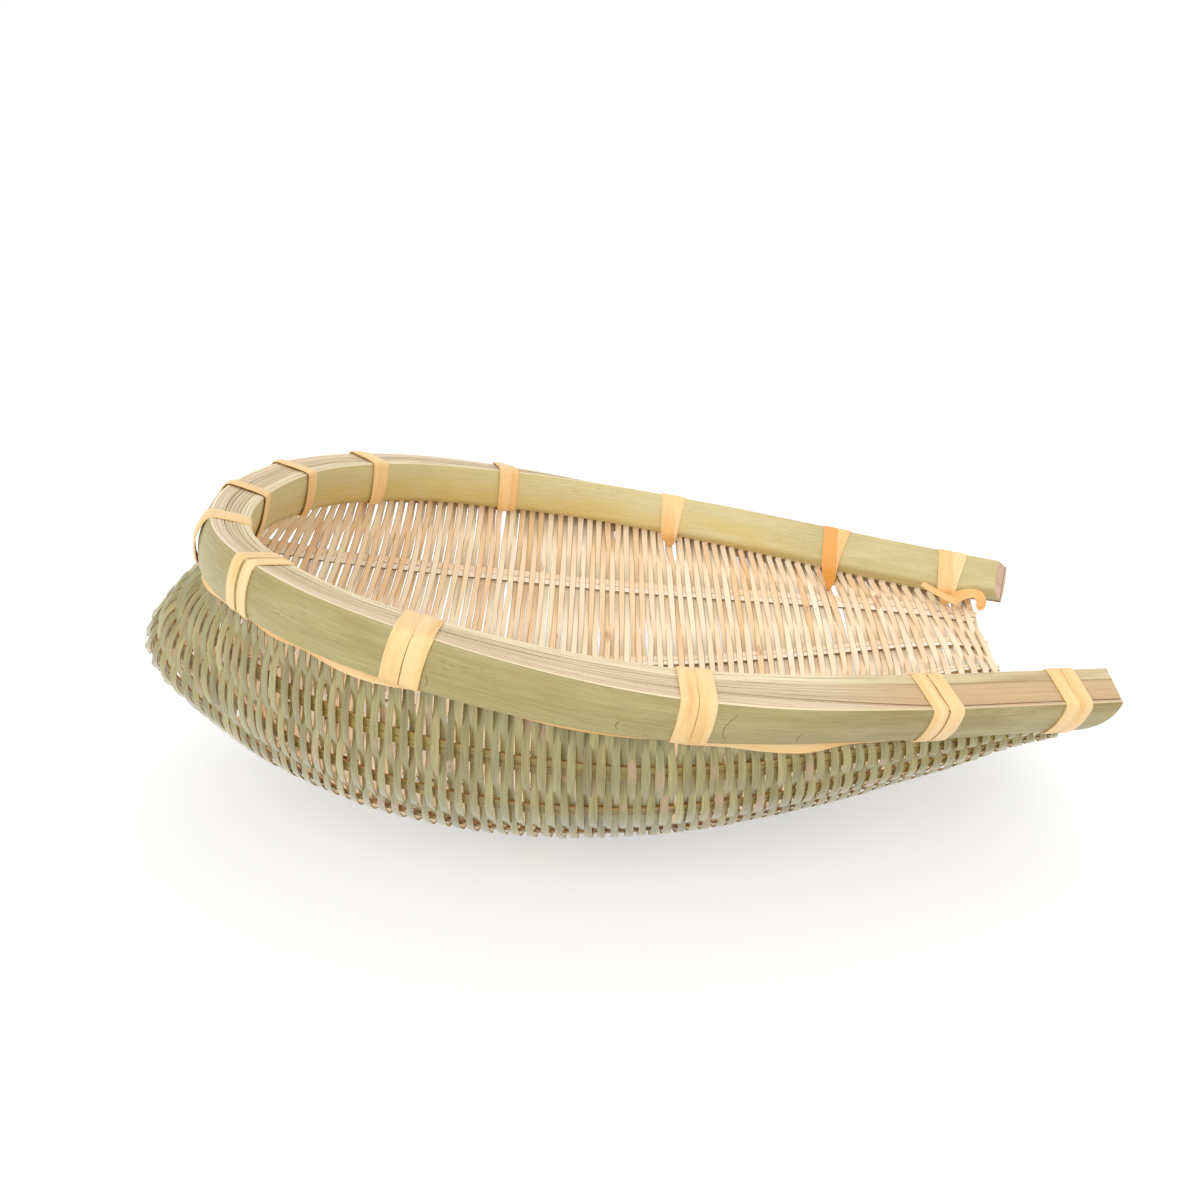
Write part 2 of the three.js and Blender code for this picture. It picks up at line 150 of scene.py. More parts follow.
class Rim:
    """The bent line of the rim, from the near arm's end round the bow to the far arm's end.

    A place on it runs from 0 at the near arm's end, over 0.5 at the bow, to 1.
    """

    arm_reach = 125.0 * MM
    bow_reach = 102.2 * MM
    half_width = 93.7 * MM
    arm_end_height = 42.9 * MM
    bow_height = 85.6 * MM
    forward_shares = (1, 0.898, 0.756, 0.608, 0.464, 0.306, 0.151, 0.038, 0)
    width_shares = (0.59, 0.684, 0.821, 0.945, 1, 0.951, 0.782, 0.458, 0)
    rise_shares = (0, 0.066, 0.166, 0.295, 0.457, 0.658, 0.845, 0.965, 1)
    lean_degrees = (37.4, 35.8, 31.9, 16.2, -2.5, -13.4, -20.9)
    hoop_height = 12.5 * MM
    thickness = 10.05 * MM
    outer_crown = 1.1 * MM
    inner_crown = 0.6 * MM
    step = 1e-3

    def __init__(self) -> None:
        """Sets up the bent line and its lean."""
        near = [(lerp(-self.bow_reach, self.arm_reach, x), -self.half_width * y,
                 lerp(self.arm_end_height, self.bow_height, z))
                for x, y, z in zip(self.forward_shares, self.width_shares, self.rise_shares)]
        far = [(x, -y, z) for x, y, z in reversed(near[:-1])]
        self.line = line_through(near + far)
        leans = self.lean_degrees + self.lean_degrees[-2::-1]
        self.lean = line_through([(value, 0, 0) for value in leans])

    def section(self, place: float) -> Section:
        """The section at a place, stored for the next time.

        Args:
            place: place on the rim, a little past 0 or 1 at most.

        Returns:
            The section's outer top corner, its directions and the rim's speed there.
        """
        return self._section(round(place, PLACE_DIGITS))

    @lru_cache(maxsize=STORE_SIZE)
    def _section(self, place: float) -> Section:
        """Works a section out.

        Args:
            place: its rounded place on the rim.

        Returns:
            The section.
        """
        before, after = max(place - self.step, 0.0), min(place + self.step, 1.0)
        start, end = self.line.at(before), self.line.at(after)
        along = (end - start).normalized()
        inward = Vector((along.y, -along.x, 0)).normalized()
        up = (Vector((0, 0, 1)) - along * along.z).normalized()
        lean = math.radians(self.lean.at(place).x)
        return Section(
            corner=self.line.at(place),
            along=along,
            across=inward * math.cos(lean) + up * math.sin(lean),
            down=inward * math.sin(lean) - up * math.cos(lean),
            speed=(end - start).length / (after - before))

    def point(self, place: float, across: float, down: float) -> Vector:
        """A point of the section.

        Args:
            place: place on the rim.
            across: how far inwards from the outer face.
            down: how far down from the top.

        Returns:
            The point.
        """
        here = self.section(place)
        over = place - min(max(place, 0.0), 1.0)
        return here.corner + here.across * across + here.down * down + here.along * over * here.speed

    def moved(self, place: float, distance: float) -> float:
        """The place a distance further along the rim."""
        return place + distance / self.section(place).speed


RIM = Rim()


@dataclass(frozen=True)
class CrossLine:
    """One line of the woven body's middle surface, from hoop to hoop under the keel."""

    hang: Vector
    keel: Vector
    squareness: float

    def at(self, across: float) -> Vector:
        """The point at a share across.

        Args:
            across: the share, from -1 on the near hoop to 1 on the far one.

        Returns:
            The point.
        """
        angle = math.pi / 2 * min(abs(across), 1.0) ** self.squareness
        spread = math.copysign(math.sin(angle) ** (1 / self.squareness), across)
        drop = math.cos(angle)
        return Vector((lerp(self.hang.x, self.keel.x, drop), -self.hang.y * spread,
                       lerp(self.hang.z, self.keel.z, drop)))


class Weave:
    """The middle surface of the woven body.

    A station runs from 0 at the lip to 1 at the bow, and across from -1 to 1.
    """

    tuck_across = 4.8 * MM
    lip_inset = 7.3 * MM
    lip_fall = 20.43 * MM
    belly_overhang = 22.3 * MM
    belly_fall = 41.0 * MM
    keel_base = 0.15 * MM
    forward_shares = (1, 0.955, 0.866, 0.748, 0.616, 0.485, 0.359, 0.239, 0.110, 0)
    lip_rise_shares = (1, 0.938, 0.683, 0.364, 0.104, 0)
    belly_rise_shares = (0.030, 0.155, 0.463, 1)
    squareness = 1.5
    lip_setback = 7.5 * MM
    near_slants = (0.030, 0.110, 0.130, 0.088, 0.043, -0.004, -0.008, 0.0, -0.066, -0.095, 0.0)
    far_slants = (0.022, 0.052, 0.062, 0.042, 0.005, -0.010, 0.0, 0.036, 0.008, -0.040, 0.0)
    slant_size = 0.6
    slant_fade = 1.35
    slant_change = 0.5
    step = 1e-3

    def __init__(self) -> None:
        """Sets up the keel, the body's lowest line, and the slant of the cross strips."""
        self.slants = line_through([(near, far, 0) for near, far in zip(self.near_slants, self.far_slants)])
        rises = [share * (RIM.arm_end_height - self.lip_fall) for share in self.lip_rise_shares]
        rises += [share * (RIM.bow_height - self.belly_fall) for share in self.belly_rise_shares]
        back, front = -RIM.bow_reach - self.belly_overhang, RIM.arm_reach - self.lip_inset
        rows = [(lerp(back, front, forward), 0, self.keel_base + rise)
                for forward, rise in zip(self.forward_shares, rises)]
        rows.append(RIM.point(0.5, self.tuck_across, RIM.hoop_height))
        self.keel = line_through(rows)
        self.lip_place = self.lip_setback / RIM.section(0.0).speed

    def hang_place(self, station: float, side: Side) -> float:
        """The place on the rim where a station's line hangs on one side."""
        near = lerp(self.lip_place, 0.5, station)
        return near if side is Side.NEAR else 1 - near

    def slanted(self, station: float, across: float) -> float:
        """The station that a slanting cross strip has reached.

        Args:
            station: the station at which it hangs from the hoops.
            across: the share across.

        Returns:
            The station there.
        """
        near, far, _ = self.slants.at(station)
        slant = lerp(near, far, smoothstep(-self.slant_change, self.slant_change, across))
        return station + slant * self.slant_size * max(0.0, 1 - across * across) ** self.slant_fade

    def station_at(self, place: float) -> float:
        """The station whose line hangs at a place on the rim."""
        return (min(place, 1 - place) - self.lip_place) / (0.5 - self.lip_place)

    def line(self, station: float) -> CrossLine:
        """The cross line at a station, stored for the next time."""
        return self._line(round(station, PLACE_DIGITS))

    @lru_cache(maxsize=STORE_SIZE)
    def _line(self, station: float) -> CrossLine:
        """Works out the cross line at a rounded station."""
        hang = RIM.point(self.hang_place(station, Side.NEAR), self.tuck_across, RIM.hoop_height)
        return CrossLine(hang, self.keel.at(station), self.squareness)

    def point(self, station: float, across: float) -> Vector:
        """A point of the middle surface."""
        return self.line(station).at(across)

    def facing(self, station: float, across: float) -> tuple[Vector, Vector]:
        """Directions at a point of the surface.

        Args:
            station: how far from the lip to the bow.
            across: how far from the near to the far hoop.

        Returns:
            The direction to the inside of the basket, and the one towards the bow.
        """
        here = min(max(station, self.step), 1 - self.step)
        edge = min(max(across, -1 + self.step), 1 - self.step)
        along = self.point(here + self.step, edge) - self.point(here - self.step, edge)
        over = self.point(here, edge + self.step) - self.point(here, edge - self.step)
        inside = over.cross(along).normalized()
        return inside, along.normalized()

    def across_at_depth(self, station: float, side: Side, depth: float) -> float:
        """The share across of a point that hangs a little below the hoops.

        Args:
            station: how far from the lip to the bow.
            side: the basket's side.
            depth: how far below the hoops.

        Returns:
            The share across.
        """
        line = self.line(station)
        fall = math.hypot(line.keel.x - line.hang.x, line.keel.z - line.hang.z)
        return side * (math.atan2(fall, depth) / (math.pi / 2)) ** (1 / self.squareness)


WEAVE = Weave()


def linear(red: int, green: int, blue: int) -> tuple[float, float, float, float]:
    """A colour as the light values that a shader takes.

    Args:
        red: the red part as seen on a screen, 0 to 255.
        green: the green part.
        blue: the blue part.

    Returns:
        The light values and an alpha of 1.
    """
    parts = [value / 255 for value in (red, green, blue)]
    light = [v / 12.92 if v <= 0.04045 else ((v + 0.055) / 1.055) ** 2.4 for v in parts]
    return (*light, 1.0)


class Sheet:
    """Adds nodes to one material and joins them."""

    strip_stride = 91.7

    def __init__(self, name: str) -> None:
        """Starts an empty material with its output and its main shader.

        Args:
            name: the material's name.
        """
        self.material = bpy.data.materials.new(name)
        self.material.use_nodes = True
        self.nodes = self.material.node_tree.nodes
        self.links = self.material.node_tree.links
        self.shader = next(node for node in self.nodes if node.type == "BSDF_PRINCIPLED")

    def node(self, kind: str, inputs: dict[str | int, object], **settings: object) -> bpy.types.Node:
        """Adds a node.

        Args:
            kind: the node's type name, without its ShaderNode prefix.
            inputs: sockets to values to set, or to the sockets to join to them.
            settings: properties of the node.

        Returns:
            The new node.
        """
        node = self.nodes.new("ShaderNode" + kind)
        for key, value in settings.items():
            setattr(node, key, value)
        for key, value in inputs.items():
            if isinstance(value, bpy.types.NodeSocket):
                self.links.new(value, node.inputs[key])
            else:
                node.inputs[key].default_value = value
        return node

    def surface(self) -> bpy.types.NodeSocket:
        """The piece's own map: metres along the strip, then metres round its section."""
        return self.node("UVMap", {}, uv_map=UV_NAME).outputs["UV"]

    def value(self, name: str) -> bpy.types.NodeSocket:
        """A named value that the piece carries."""
        return self.node("Attribute", {}, attribute_name=name).outputs["Fac"]

    def math(self, kind: str, *values: object) -> bpy.types.NodeSocket:
        """A calculation with one to three values."""
        return self.node("Math", dict(enumerate(values)), operation=kind).outputs[0]

    def fibre(self, along: float, round_: float, detail: float = 3.0,
              seed: float = 1.0) -> bpy.types.NodeSocket:
        """A noise drawn out along the strip.

        Args:
            along: the noise's length along the strip, in metres.
            round_: its width round the strip, in metres.
            detail: how many finer layers it has.
            seed: shifts the noise, together with the strip's own value.

        Returns:
            The noise's socket, from 0 to 1.
        """
        parts = self.node("SeparateXYZ", {0: self.surface()})
        vector = self.node("CombineXYZ", {
            0: self.math("MULTIPLY", parts.outputs[0], 1 / along),
            1: self.math("MULTIPLY", parts.outputs[1], 1 / round_),
            2: self.math("MULTIPLY_ADD", self.value(STRIP_NAME), self.strip_stride, seed)})
        cloud = self.node("TexNoise", {"Vector": vector.outputs[0], "Scale": 1.0, "Detail": detail})
        return cloud.outputs["Fac"]

    def ramp(self, share: bpy.types.NodeSocket, stops: Sequence[tuple[float, Sequence[float]]]
             ) -> bpy.types.NodeSocket:
        """Colours along a share from 0 to 1.

        Args:
            share: the share's socket.
            stops: places and the light values of the colours there.

        Returns:
            The colour's socket.
        """
        node = self.node("ValToRGB", {"Fac": share})
        elements = node.color_ramp.elements
        while len(elements) < len(stops):
            elements.new(0.5)
        for element, (place, colour) in zip(elements, stops):
            element.position = place
            element.color = colour
        return node.outputs["Color"]

    def mask(self, share: bpy.types.NodeSocket, low: float, high: float) -> bpy.types.NodeSocket:
        """0 below low and 1 above high."""
        node = self.node("MapRange", {"Value": share, "From Min": low, "From Max": high}, clamp=True)
        return node.outputs["Result"]

    def mix(self, share: object, first: object, second: object, kind: str = "MIX") -> bpy.types.NodeSocket:
        """Two colours mixed.

        Args:
            share: how much the second one counts, a value or a socket.
            first: the first colour, light values or a socket.
            second: the second colour.
            kind: the way of mixing.

        Returns:
            The mixed colour's socket.
        """
        node = self.node("Mix", {}, data_type="RGBA", blend_type=kind)
        for socket in node.inputs:
            value = {"Factor": share, "A": first, "B": second}[socket.name]
            if socket.type != ("VALUE" if socket.name == "Factor" else "RGBA"):
                continue
            if isinstance(value, bpy.types.NodeSocket):
                self.links.new(value, socket)
            else:
                socket.default_value = value
        return next(socket for socket in node.outputs if socket.type == "RGBA")

    def bump(self, height: bpy.types.NodeSocket, distance: float, strength: float = 1.0) -> None:
        """Raises the surface by a height of 0 to 1 times a distance."""
        node = self.node("Bump", {"Height": height, "Distance": distance, "Strength": strength})
        self.links.new(node.outputs["Normal"], self.shader.inputs["Normal"])

    def grain(self, base: bpy.types.NodeSocket, share: float | bpy.types.NodeSocket,
              pattern: bpy.types.NodeSocket, stops: Stops) -> bpy.types.NodeSocket:
        """Lays a pattern of darker and lighter fibres softly over a colour.

        Args:
            base: the colour's socket.
            share: how strongly the pattern shows.
            pattern: the pattern, from 0 to 1.
            stops: places and colours along the pattern. A light grey one leaves the colour as it is.

        Returns:
            The new colour's socket.
        """
        tones = self.ramp(pattern, [(place, linear(*colour)) for place, colour in stops])
        return self.mix(share, base, tones, "SOFT_LIGHT")

    def paint(self, colour: bpy.types.NodeSocket, roughness: float | bpy.types.NodeSocket
              ) -> bpy.types.Material:
        """Gives the shader its colour and roughness.

        Args:
            colour: the colour's socket.
            roughness: a value or a socket.

        Returns:
            The finished material.
        """
        self.links.new(colour, self.shader.inputs["Base Color"])
        if isinstance(roughness, bpy.types.NodeSocket):
            self.links.new(roughness, self.shader.inputs["Roughness"])
        else:
            self.shader.inputs["Roughness"].default_value = roughness
        return self.material


@dataclass(frozen=True)
class HoopSkin:
    """The smooth natural skin of a hoop: patches, fine streaks and flecks, and a tone from edge to edge.

    Its first and last are where the skin's upper and lower edges lie round the section.
    """

    name: str
    upper: Colour
    lower: Colour
    arm: Colour
    patch: Colour
    fleck: Colour
    first: float
    last: float
    arm_share: float = 0.7
    fleck_share: float = 0.62
    fine_share: float = 0.36
    long_share: float = 0.22
    least_roughness: float = 0.36
    most_roughness: float = 0.54

    def make(self) -> bpy.types.Material:
        """Builds the material.

        Returns:
            The material.
        """
        sheet = Sheet(self.name)
        parts = sheet.node("SeparateXYZ", {0: sheet.surface()})
        height = sheet.mask(parts.outputs[1], self.first, self.last)
        base = sheet.ramp(height, [
            (0.0, linear(*self.upper)), (0.55, linear(*self.upper)), (1.0, linear(*self.lower))])
        at_arm = sheet.math("SUBTRACT", 1.0, sheet.value(PARTED_OR_SHADE_NAME))
        base = sheet.mix(sheet.math("MULTIPLY", at_arm, self.arm_share), base, linear(*self.arm))
        cloud = sheet.fibre(20 * MM, 5 * MM, detail=4.0, seed=3.0)
        base = sheet.mix(sheet.mask(cloud, 0.45, 0.72), base, linear(*self.patch))
        fine = sheet.fibre(5 * MM, 0.16 * MM, detail=3.0, seed=8.0)
        base = sheet.grain(base, self.fine_share, fine, (
            (0.25, (104, 98, 66)), (0.52, (190, 186, 158)), (0.85, (240, 236, 206))))
        long_ = sheet.fibre(40 * MM, 0.5 * MM, detail=3.0, seed=17.0)
        base = sheet.grain(base, self.long_share, long_, (
            (0.3, (120, 112, 78)), (0.5, (188, 186, 166)), (0.75, (232, 230, 206))))
        fleck = sheet.mask(sheet.fibre(2.6 * MM, 0.34 * MM, detail=3.0, seed=21.0), 0.63, 0.72)
        where = sheet.mask(sheet.fibre(26 * MM, 7 * MM, detail=2.0, seed=31.0), 0.46, 0.60)
        spots = sheet.math("MULTIPLY", fleck, where)
        base = sheet.mix(sheet.math("MULTIPLY", spots, self.fleck_share), base, linear(*self.fleck))
        sheet.bump(fine, distance=0.05 * MM, strength=0.5)
        return sheet.paint(base, sheet.node("MapRange", {
            "Value": cloud, "To Min": self.least_roughness,
            "To Max": self.most_roughness}).outputs["Result"])


@dataclass(frozen=True)
class CutEdge:
    """Bamboo cut along its fibres: a run of colours from the outer edge inwards, finely lined.

    The stops are shares of the width, round the bow and on the arms.
    """

    name: str
    width: float
    stops: Stops
    arm_stops: Stops
    line_width: float = 0.24 * MM
    line_share: float = 0.7
    arm_line_share: float = 0.4
    sway: float = 0.12
    dry: Colour = (150, 120, 90)
    dry_share: float = 0.3
    roughness: float = 0.62

    def make(self) -> bpy.types.Material:
        """Builds the material.

        Returns:
            The material.
        """
        sheet = Sheet(self.name)
        parts = sheet.node("SeparateXYZ", {0: sheet.surface()})
        wave = sheet.math("MULTIPLY", sheet.fibre(40 * MM, 4 * MM, detail=1.0, seed=5.0), self.sway)
        share = sheet.math("ADD", sheet.mask(parts.outputs[1], 0.0, self.width), wave)
        share = sheet.math("SUBTRACT", share, self.sway / 2)
        bow = sheet.ramp(share, [(place, linear(*colour)) for place, colour in self.stops])
        arm = sheet.ramp(share, [(place, linear(*colour)) for place, colour in self.arm_stops])
        open_ = sheet.value(PARTED_OR_SHADE_NAME)
        base = sheet.mix(open_, arm, bow)
        lines = sheet.fibre(50 * MM, self.line_width, detail=2.0, seed=11.0)
        strength = sheet.node("MapRange", {
            "Value": open_, "To Min": self.line_share * self.arm_line_share,
            "To Max": self.line_share}).outputs["Result"]
        base = sheet.grain(base, strength, lines, (
            (0.34, (84, 68, 48)), (0.5, (188, 184, 168)), (0.66, (252, 248, 232))))
        short = sheet.fibre(7 * MM, 0.5 * MM, detail=3.0, seed=14.0)
        dried = sheet.math("MULTIPLY", sheet.mask(short, 0.58, 0.75), self.dry_share)
        base = sheet.mix(dried, base, linear(*self.dry))
        sheet.bump(lines, distance=0.10 * MM, strength=0.7)
        return sheet.paint(base, self.roughness)


@dataclass(frozen=True)
class StripFinish:
    """One side of a split strip: a tone of its own, fibres, and now and then a stained node.

    Where the strip's change value is 1, it darkens towards its shade colour by its shaded share: painted
    shade.
    With a start for its shadow line, such a strip also has a painted shadow, a dark line along its edge, from
    that far round the section on.
    """

    name: str
    tones: tuple[Colour, ...]
    stain: Colour
    shade: Colour
    stain_from: float
    roughness: float
    coat: float = 0.0
    shaded: float = 1.0
    shadow_line_from: float = 0.0
    stain_edge: float = 0.05
    shadow_line_edge: float = 0.08 * MM
    coat_roughness: float = 0.24
    slow_share: float = 0.55
    fine_share: float = 0.5

    def make(self) -> bpy.types.Material:
        """Builds the material.

        Returns:
            The material.
        """
        sheet = Sheet(self.name)
        own = sheet.value(STRIP_NAME)
        last = len(self.tones) - 1
        base = sheet.ramp(own, [(i / last, linear(*tone)) for i, tone in enumerate(self.tones)])
        slow = sheet.fibre(24 * MM, 3 * MM, detail=2.0, seed=2.0)
        base = sheet.grain(base, self.slow_share, slow, (
            (0.3, (108, 102, 84)), (0.52, (188, 186, 176)), (0.75, (240, 238, 228))))
        fine = sheet.fibre(8 * MM, 0.20 * MM, detail=2.0, seed=6.0)
        base = sheet.grain(base, self.fine_share, fine, (
            (0.3, (104, 94, 76)), (0.5, (188, 186, 176)), (0.7, (246, 244, 234))))
        stained = sheet.mask(sheet.fibre(11 * MM, 9 * MM, detail=1.0, seed=41.0), self.stain_from,
                             self.stain_from + self.stain_edge)
        spread = sheet.mask(sheet.fibre(3 * MM, 0.5 * MM, detail=3.0, seed=44.0), 0.35, 0.6)
        base = sheet.mix(sheet.math("MULTIPLY", stained, spread), base, linear(*self.stain))
        dark = sheet.math("MULTIPLY", sheet.value(PARTED_OR_SHADE_NAME), self.shaded)
        base = sheet.mix(dark, base, linear(*self.shade))
        # Painted shadow: a dark line along the edge of the marked strips, where shade falls beside them.
        if self.shadow_line_from:
            parts = sheet.node("SeparateXYZ", {0: sheet.surface()})
            line = sheet.mask(parts.outputs[1], self.shadow_line_from - self.shadow_line_edge, self.shadow_line_from)
            line = sheet.math("MULTIPLY", line, sheet.value(PARTED_OR_SHADE_NAME))
            base = sheet.mix(line, base, linear(*self.shade))
        sheet.bump(fine, distance=0.04 * MM, strength=0.6)
        sheet.shader.inputs["Coat Weight"].default_value = self.coat
        sheet.shader.inputs["Coat Roughness"].default_value = self.coat_roughness
        return sheet.paint(base, self.roughness)


@dataclass(frozen=True)
class LashingFinish:
    """The shaved strip of the lashings: warm, satin, with faint fibres along it."""

    name: str
    deep: Colour = (234, 187, 122)
    light: Colour = (243, 206, 148)
    pale: Colour = (246, 217, 170)
    shade: Colour = (228, 158, 72)
    fine_share: float = 0.26
    roughness: float = 0.46

    def make(self) -> bpy.types.Material:
        """Builds the material.

        Returns:
            The material.
        """
        sheet = Sheet(self.name)
        slow = sheet.fibre(26 * MM, 2.5 * MM, detail=2.0, seed=2.0)
        base = sheet.ramp(slow, [(0.32, linear(*self.deep)), (0.5, linear(*self.light)),
                                 (0.85, linear(*self.pale))])
        fine = sheet.fibre(9 * MM, 0.16 * MM, detail=2.0, seed=6.0)
        base = sheet.grain(base, self.fine_share, fine, (
            (0.3, (140, 108, 66)), (0.5, (188, 182, 168)), (0.75, (240, 234, 216))))
        base = sheet.mix(sheet.value(PARTED_OR_SHADE_NAME), base, linear(*self.shade))
        sheet.bump(fine, distance=0.05 * MM, strength=0.5)
        return sheet.paint(base, self.roughness)


@dataclass(frozen=True)
class PlainMark:
    """A plain dry tone with faint fibres: a scar, the crack between two leaves, or a hoop's sawn end."""

    name: str
    tone: Colour
    lighter: float = 1.25
    roughness: float = 0.8

    def make(self) -> bpy.types.Material:
        """Builds the material.

        Returns:
            The material.
        """
        sheet = Sheet(self.name)
        lines = sheet.fibre(12 * MM, 0.4 * MM, detail=3.0, seed=4.0)
        pale = tuple(min(255, round(value * self.lighter)) for value in self.tone)
        base = sheet.ramp(lines, [(0.35, linear(*self.tone)), (0.7, linear(*pale))])
        return sheet.paint(base, self.roughness)


class Blank:
    """A straight prism of bamboo whose corners are set along a route each time that it is laid.

    Its sides are counted from the one between the first and the second corner.
    """

    first_turn = 0.25

    def __init__(self, corners: int, stations: int, soft: frozenset[int] = frozenset(),
                 slots: Sequence[int] = (), end_slot: int = 0) -> None:
        """Makes the prism.

        Args:
            corners: how many corners its section has.
            stations: how many sections it has, with both ends.
            soft: the corners that are shaded round.
            slots: the material slot of each side.
            end_slot: the material slot of both ends.
        """
        self.corners = corners
        self.stations = stations
        bm = bmesh.new()
        bm.loops.layers.uv.new(UV_NAME)
        for name in (STRIP_NAME, PARTED_OR_SHADE_NAME):
            bm.verts.layers.float.new(name)
        bmesh.ops.create_cone(bm, cap_ends=True, segments=corners, radius1=1, radius2=1, depth=1)
        risers = [edge for edge in bm.edges if abs(edge.verts[0].co.z - edge.verts[1].co.z) > 0.5]
        bmesh.ops.subdivide_edges(bm, edges=risers, cuts=stations - 2)
        marks = {vert: self._mark(vert.co) for vert in bm.verts}
        for edge in bm.edges:
            (first, from_), (second, to) = (marks[vert] for vert in edge.verts)
            at_end = from_ == to and from_ in (0, stations - 1)
            edge.smooth = not at_end and (first != second or first in soft)
        for face in bm.faces:
            side = self._side([marks[vert] for vert in face.verts])
            face.smooth = side is not None
            face.material_index = end_slot if side is None else (slots[side] if slots else 0)
        self.mesh = bpy.data.meshes.new("blank")
        bm.to_mesh(self.mesh)
        bm.free()
        self.marks = [self._mark(vert.co) for vert in self.mesh.vertices]
        self.sides = [self._side([self.marks[i] for i in face.vertices]) for face in self.mesh.polygons]

    def _mark(self, co: Vector) -> tuple[int, int]:
        """The corner and the station that a vertex is.

        Args:
            co: its place on the straight prism.

        Returns:
            The counts of the corner and of the station.
        """
        turn = math.atan2(co.y, co.x) / math.tau - self.first_turn
        corner = round(turn * self.corners) % self.corners
        return corner, round((co.z + 0.5) * (self.stations - 1))

    def _side(self, marks: Sequence[tuple[int, int]]) -> int | None:
        """The side that a face is on.

        Args:
            marks: the corners and stations of its vertices.

        Returns:
            The side's count, or None for an end.
        """
        if len({station for _, station in marks}) == 1:
            return None
        first, second = sorted({corner for corner, _ in marks})
        return second if (first, second) == (0, self.corners - 1) and self.corners > 2 else first


@dataclass(frozen=True)
class Step:
    """One stop on a strip's route: its middle, the way it faces, its width's share, tilt and shade."""

    middle: Vector
    facing: Vector
    width: float = 1.0
    tilt: float = 0.0
    shade: float = 0.0


@dataclass(frozen=True)
class Slat:
    """The section of a split strip: flat and narrower inside, and slightly crowned outside.

    Its crown and core are the shares of the thickness and of the width that the crown and the flat
    inside take.
    """

    width: float
    thickness: float
    crown: float = 0.12
    core: float = 1.0
    top: float = 0.45

    @staticmethod
    def blank(stations: int, slots: Sequence[int] = (), end_slot: int = 0) -> Blank:
        """The straight prism of a slat, with the two corners of its crown shaded round."""
        return Blank(6, stations, frozenset((3, 4)), slots, end_slot)

    def corners(self, width: float = 1.0) -> list[tuple[float, float]]:
        """The section's six corners.

        Args:
            width: the share of the whole width.

        Returns:
            Pairs of across and outwards, the flat side first.
        """
        half, rise = self.width * width / 2, self.thickness / 2
        edge = rise * (1 - 2 * self.crown)
        return [(-half * self.core, -rise), (half * self.core, -rise), (half, edge),
                (half * self.top, rise), (-half * self.top, rise), (-half, edge)]


class Piece:
    """Gathers laid prisms into one object."""

    def __init__(self, name: str) -> None:
        """Starts the piece.

        Args:
            name: the object's name.
        """
        self.name = name
        self.bm = bmesh.new()
        self.bm.loops.layers.uv.new(UV_NAME)
        for layer in (STRIP_NAME, PARTED_OR_SHADE_NAME):
            self.bm.verts.layers.float.new(layer)

    def lay(self, blank: Blank, rings: Sequence[Sequence[Vector]], strip: float,
            change: Sequence[float]) -> None:
        """Sets one prism's corners along its route.

        Args:
            blank: the straight prism.
            rings: the section's corners at each station.
            strip: the strip's own value from 0 to 1, for its tone.
            change: a value at each station, for finishes that change along the piece, such as where the
                hoops' leaves part or how much painted shade a strip takes.
        """
        bm = self.bm
        first_vert, first_face = len(bm.verts), len(bm.faces)
        bm.from_mesh(blank.mesh)
        bm.verts.ensure_lookup_table()
        bm.faces.ensure_lookup_table()
        uv = bm.loops.layers.uv[UV_NAME]
        own, parted = bm.verts.layers.float[STRIP_NAME], bm.verts.layers.float[PARTED_OR_SHADE_NAME]
        verts = bm.verts[first_vert:]
        for vert, (corner, station) in zip(verts, blank.marks):
            vert.co = rings[station][corner]
            vert[own] = strip
            vert[parted] = change[station]
        lengths = [0.0]
        for before, after in zip(rings, rings[1:]):
            lengths.append(lengths[-1] + (after[0] - before[0]).length)
        middle = rings[len(rings) // 2]
        round_ = [0.0]
        for i in range(blank.corners):
            round_.append(round_[-1] + (middle[(i + 1) % blank.corners] - middle[i]).length)
        marks = dict(zip(verts, blank.marks))
        faces = bm.faces[first_face:]
        for face, side in zip(faces, blank.sides):
            for loop in face.loops:
                corner, station = marks[loop.vert]
                if side is None:
                    loop[uv].uv = (lengths[station], round_[corner])
                else:
                    loop[uv].uv = (lengths[station], round_[side if corner == side else side + 1])
        bmesh.ops.recalc_face_normals(bm, faces=faces)

    def bend(self, blank: Blank, slat: Slat, steps: Sequence[Step], strip: float = 0.5) -> None:
        """Lays a strip along a route.

        Args:
            blank: the straight prism.
            slat: the strip's section.
            steps: the route, one step for each station of the blank.
            strip: the strip's own value, for its tone.
        """
        rings = []
        for i, step in enumerate(steps):
            along = steps[min(i + 1, len(steps) - 1)].middle - steps[max(i - 1, 0)].middle
            along.normalize()
            out = (step.facing - along * step.facing.dot(along)).normalized()
            side = along.cross(out)
            if step.tilt:
                turn = Matrix.Rotation(step.tilt, 3, along)
                out, side = turn @ out, turn @ side
            rings.append([step.middle + side * w + out * n for w, n in slat.corners(step.width)])
        self.lay(blank, rings, strip, [step.shade for step in steps])

    def object(self, materials: Sequence[bpy.types.Material], slot: str, *nodes: str) -> None:
        """Turns what was laid into an object that rides on the body and stands for its nodes.

        Args:
            materials: the materials of its slots.
            slot: the record's material slot; not used.
            nodes: the nodes that it stands for.
        """
        mesh = bpy.data.meshes.new(self.name)
        self.bm.to_mesh(mesh)
        self.bm.free()
        for material in materials:
            mesh.materials.append(material)
        made = bpy.data.objects.new(self.name, mesh)
        bpy.context.scene.collection.objects.link(made)
        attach(made, BODY)
        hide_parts(*nodes)
        LOG.info("%s: %d faces", self.name, len(mesh.polygons))


@dataclass(frozen=True)
class Scar:
    """A hair-thin curved mark in the outer skin: its place, height shares, and how far it bows."""

    place: float
    top: float
    bottom: float
    bow: float


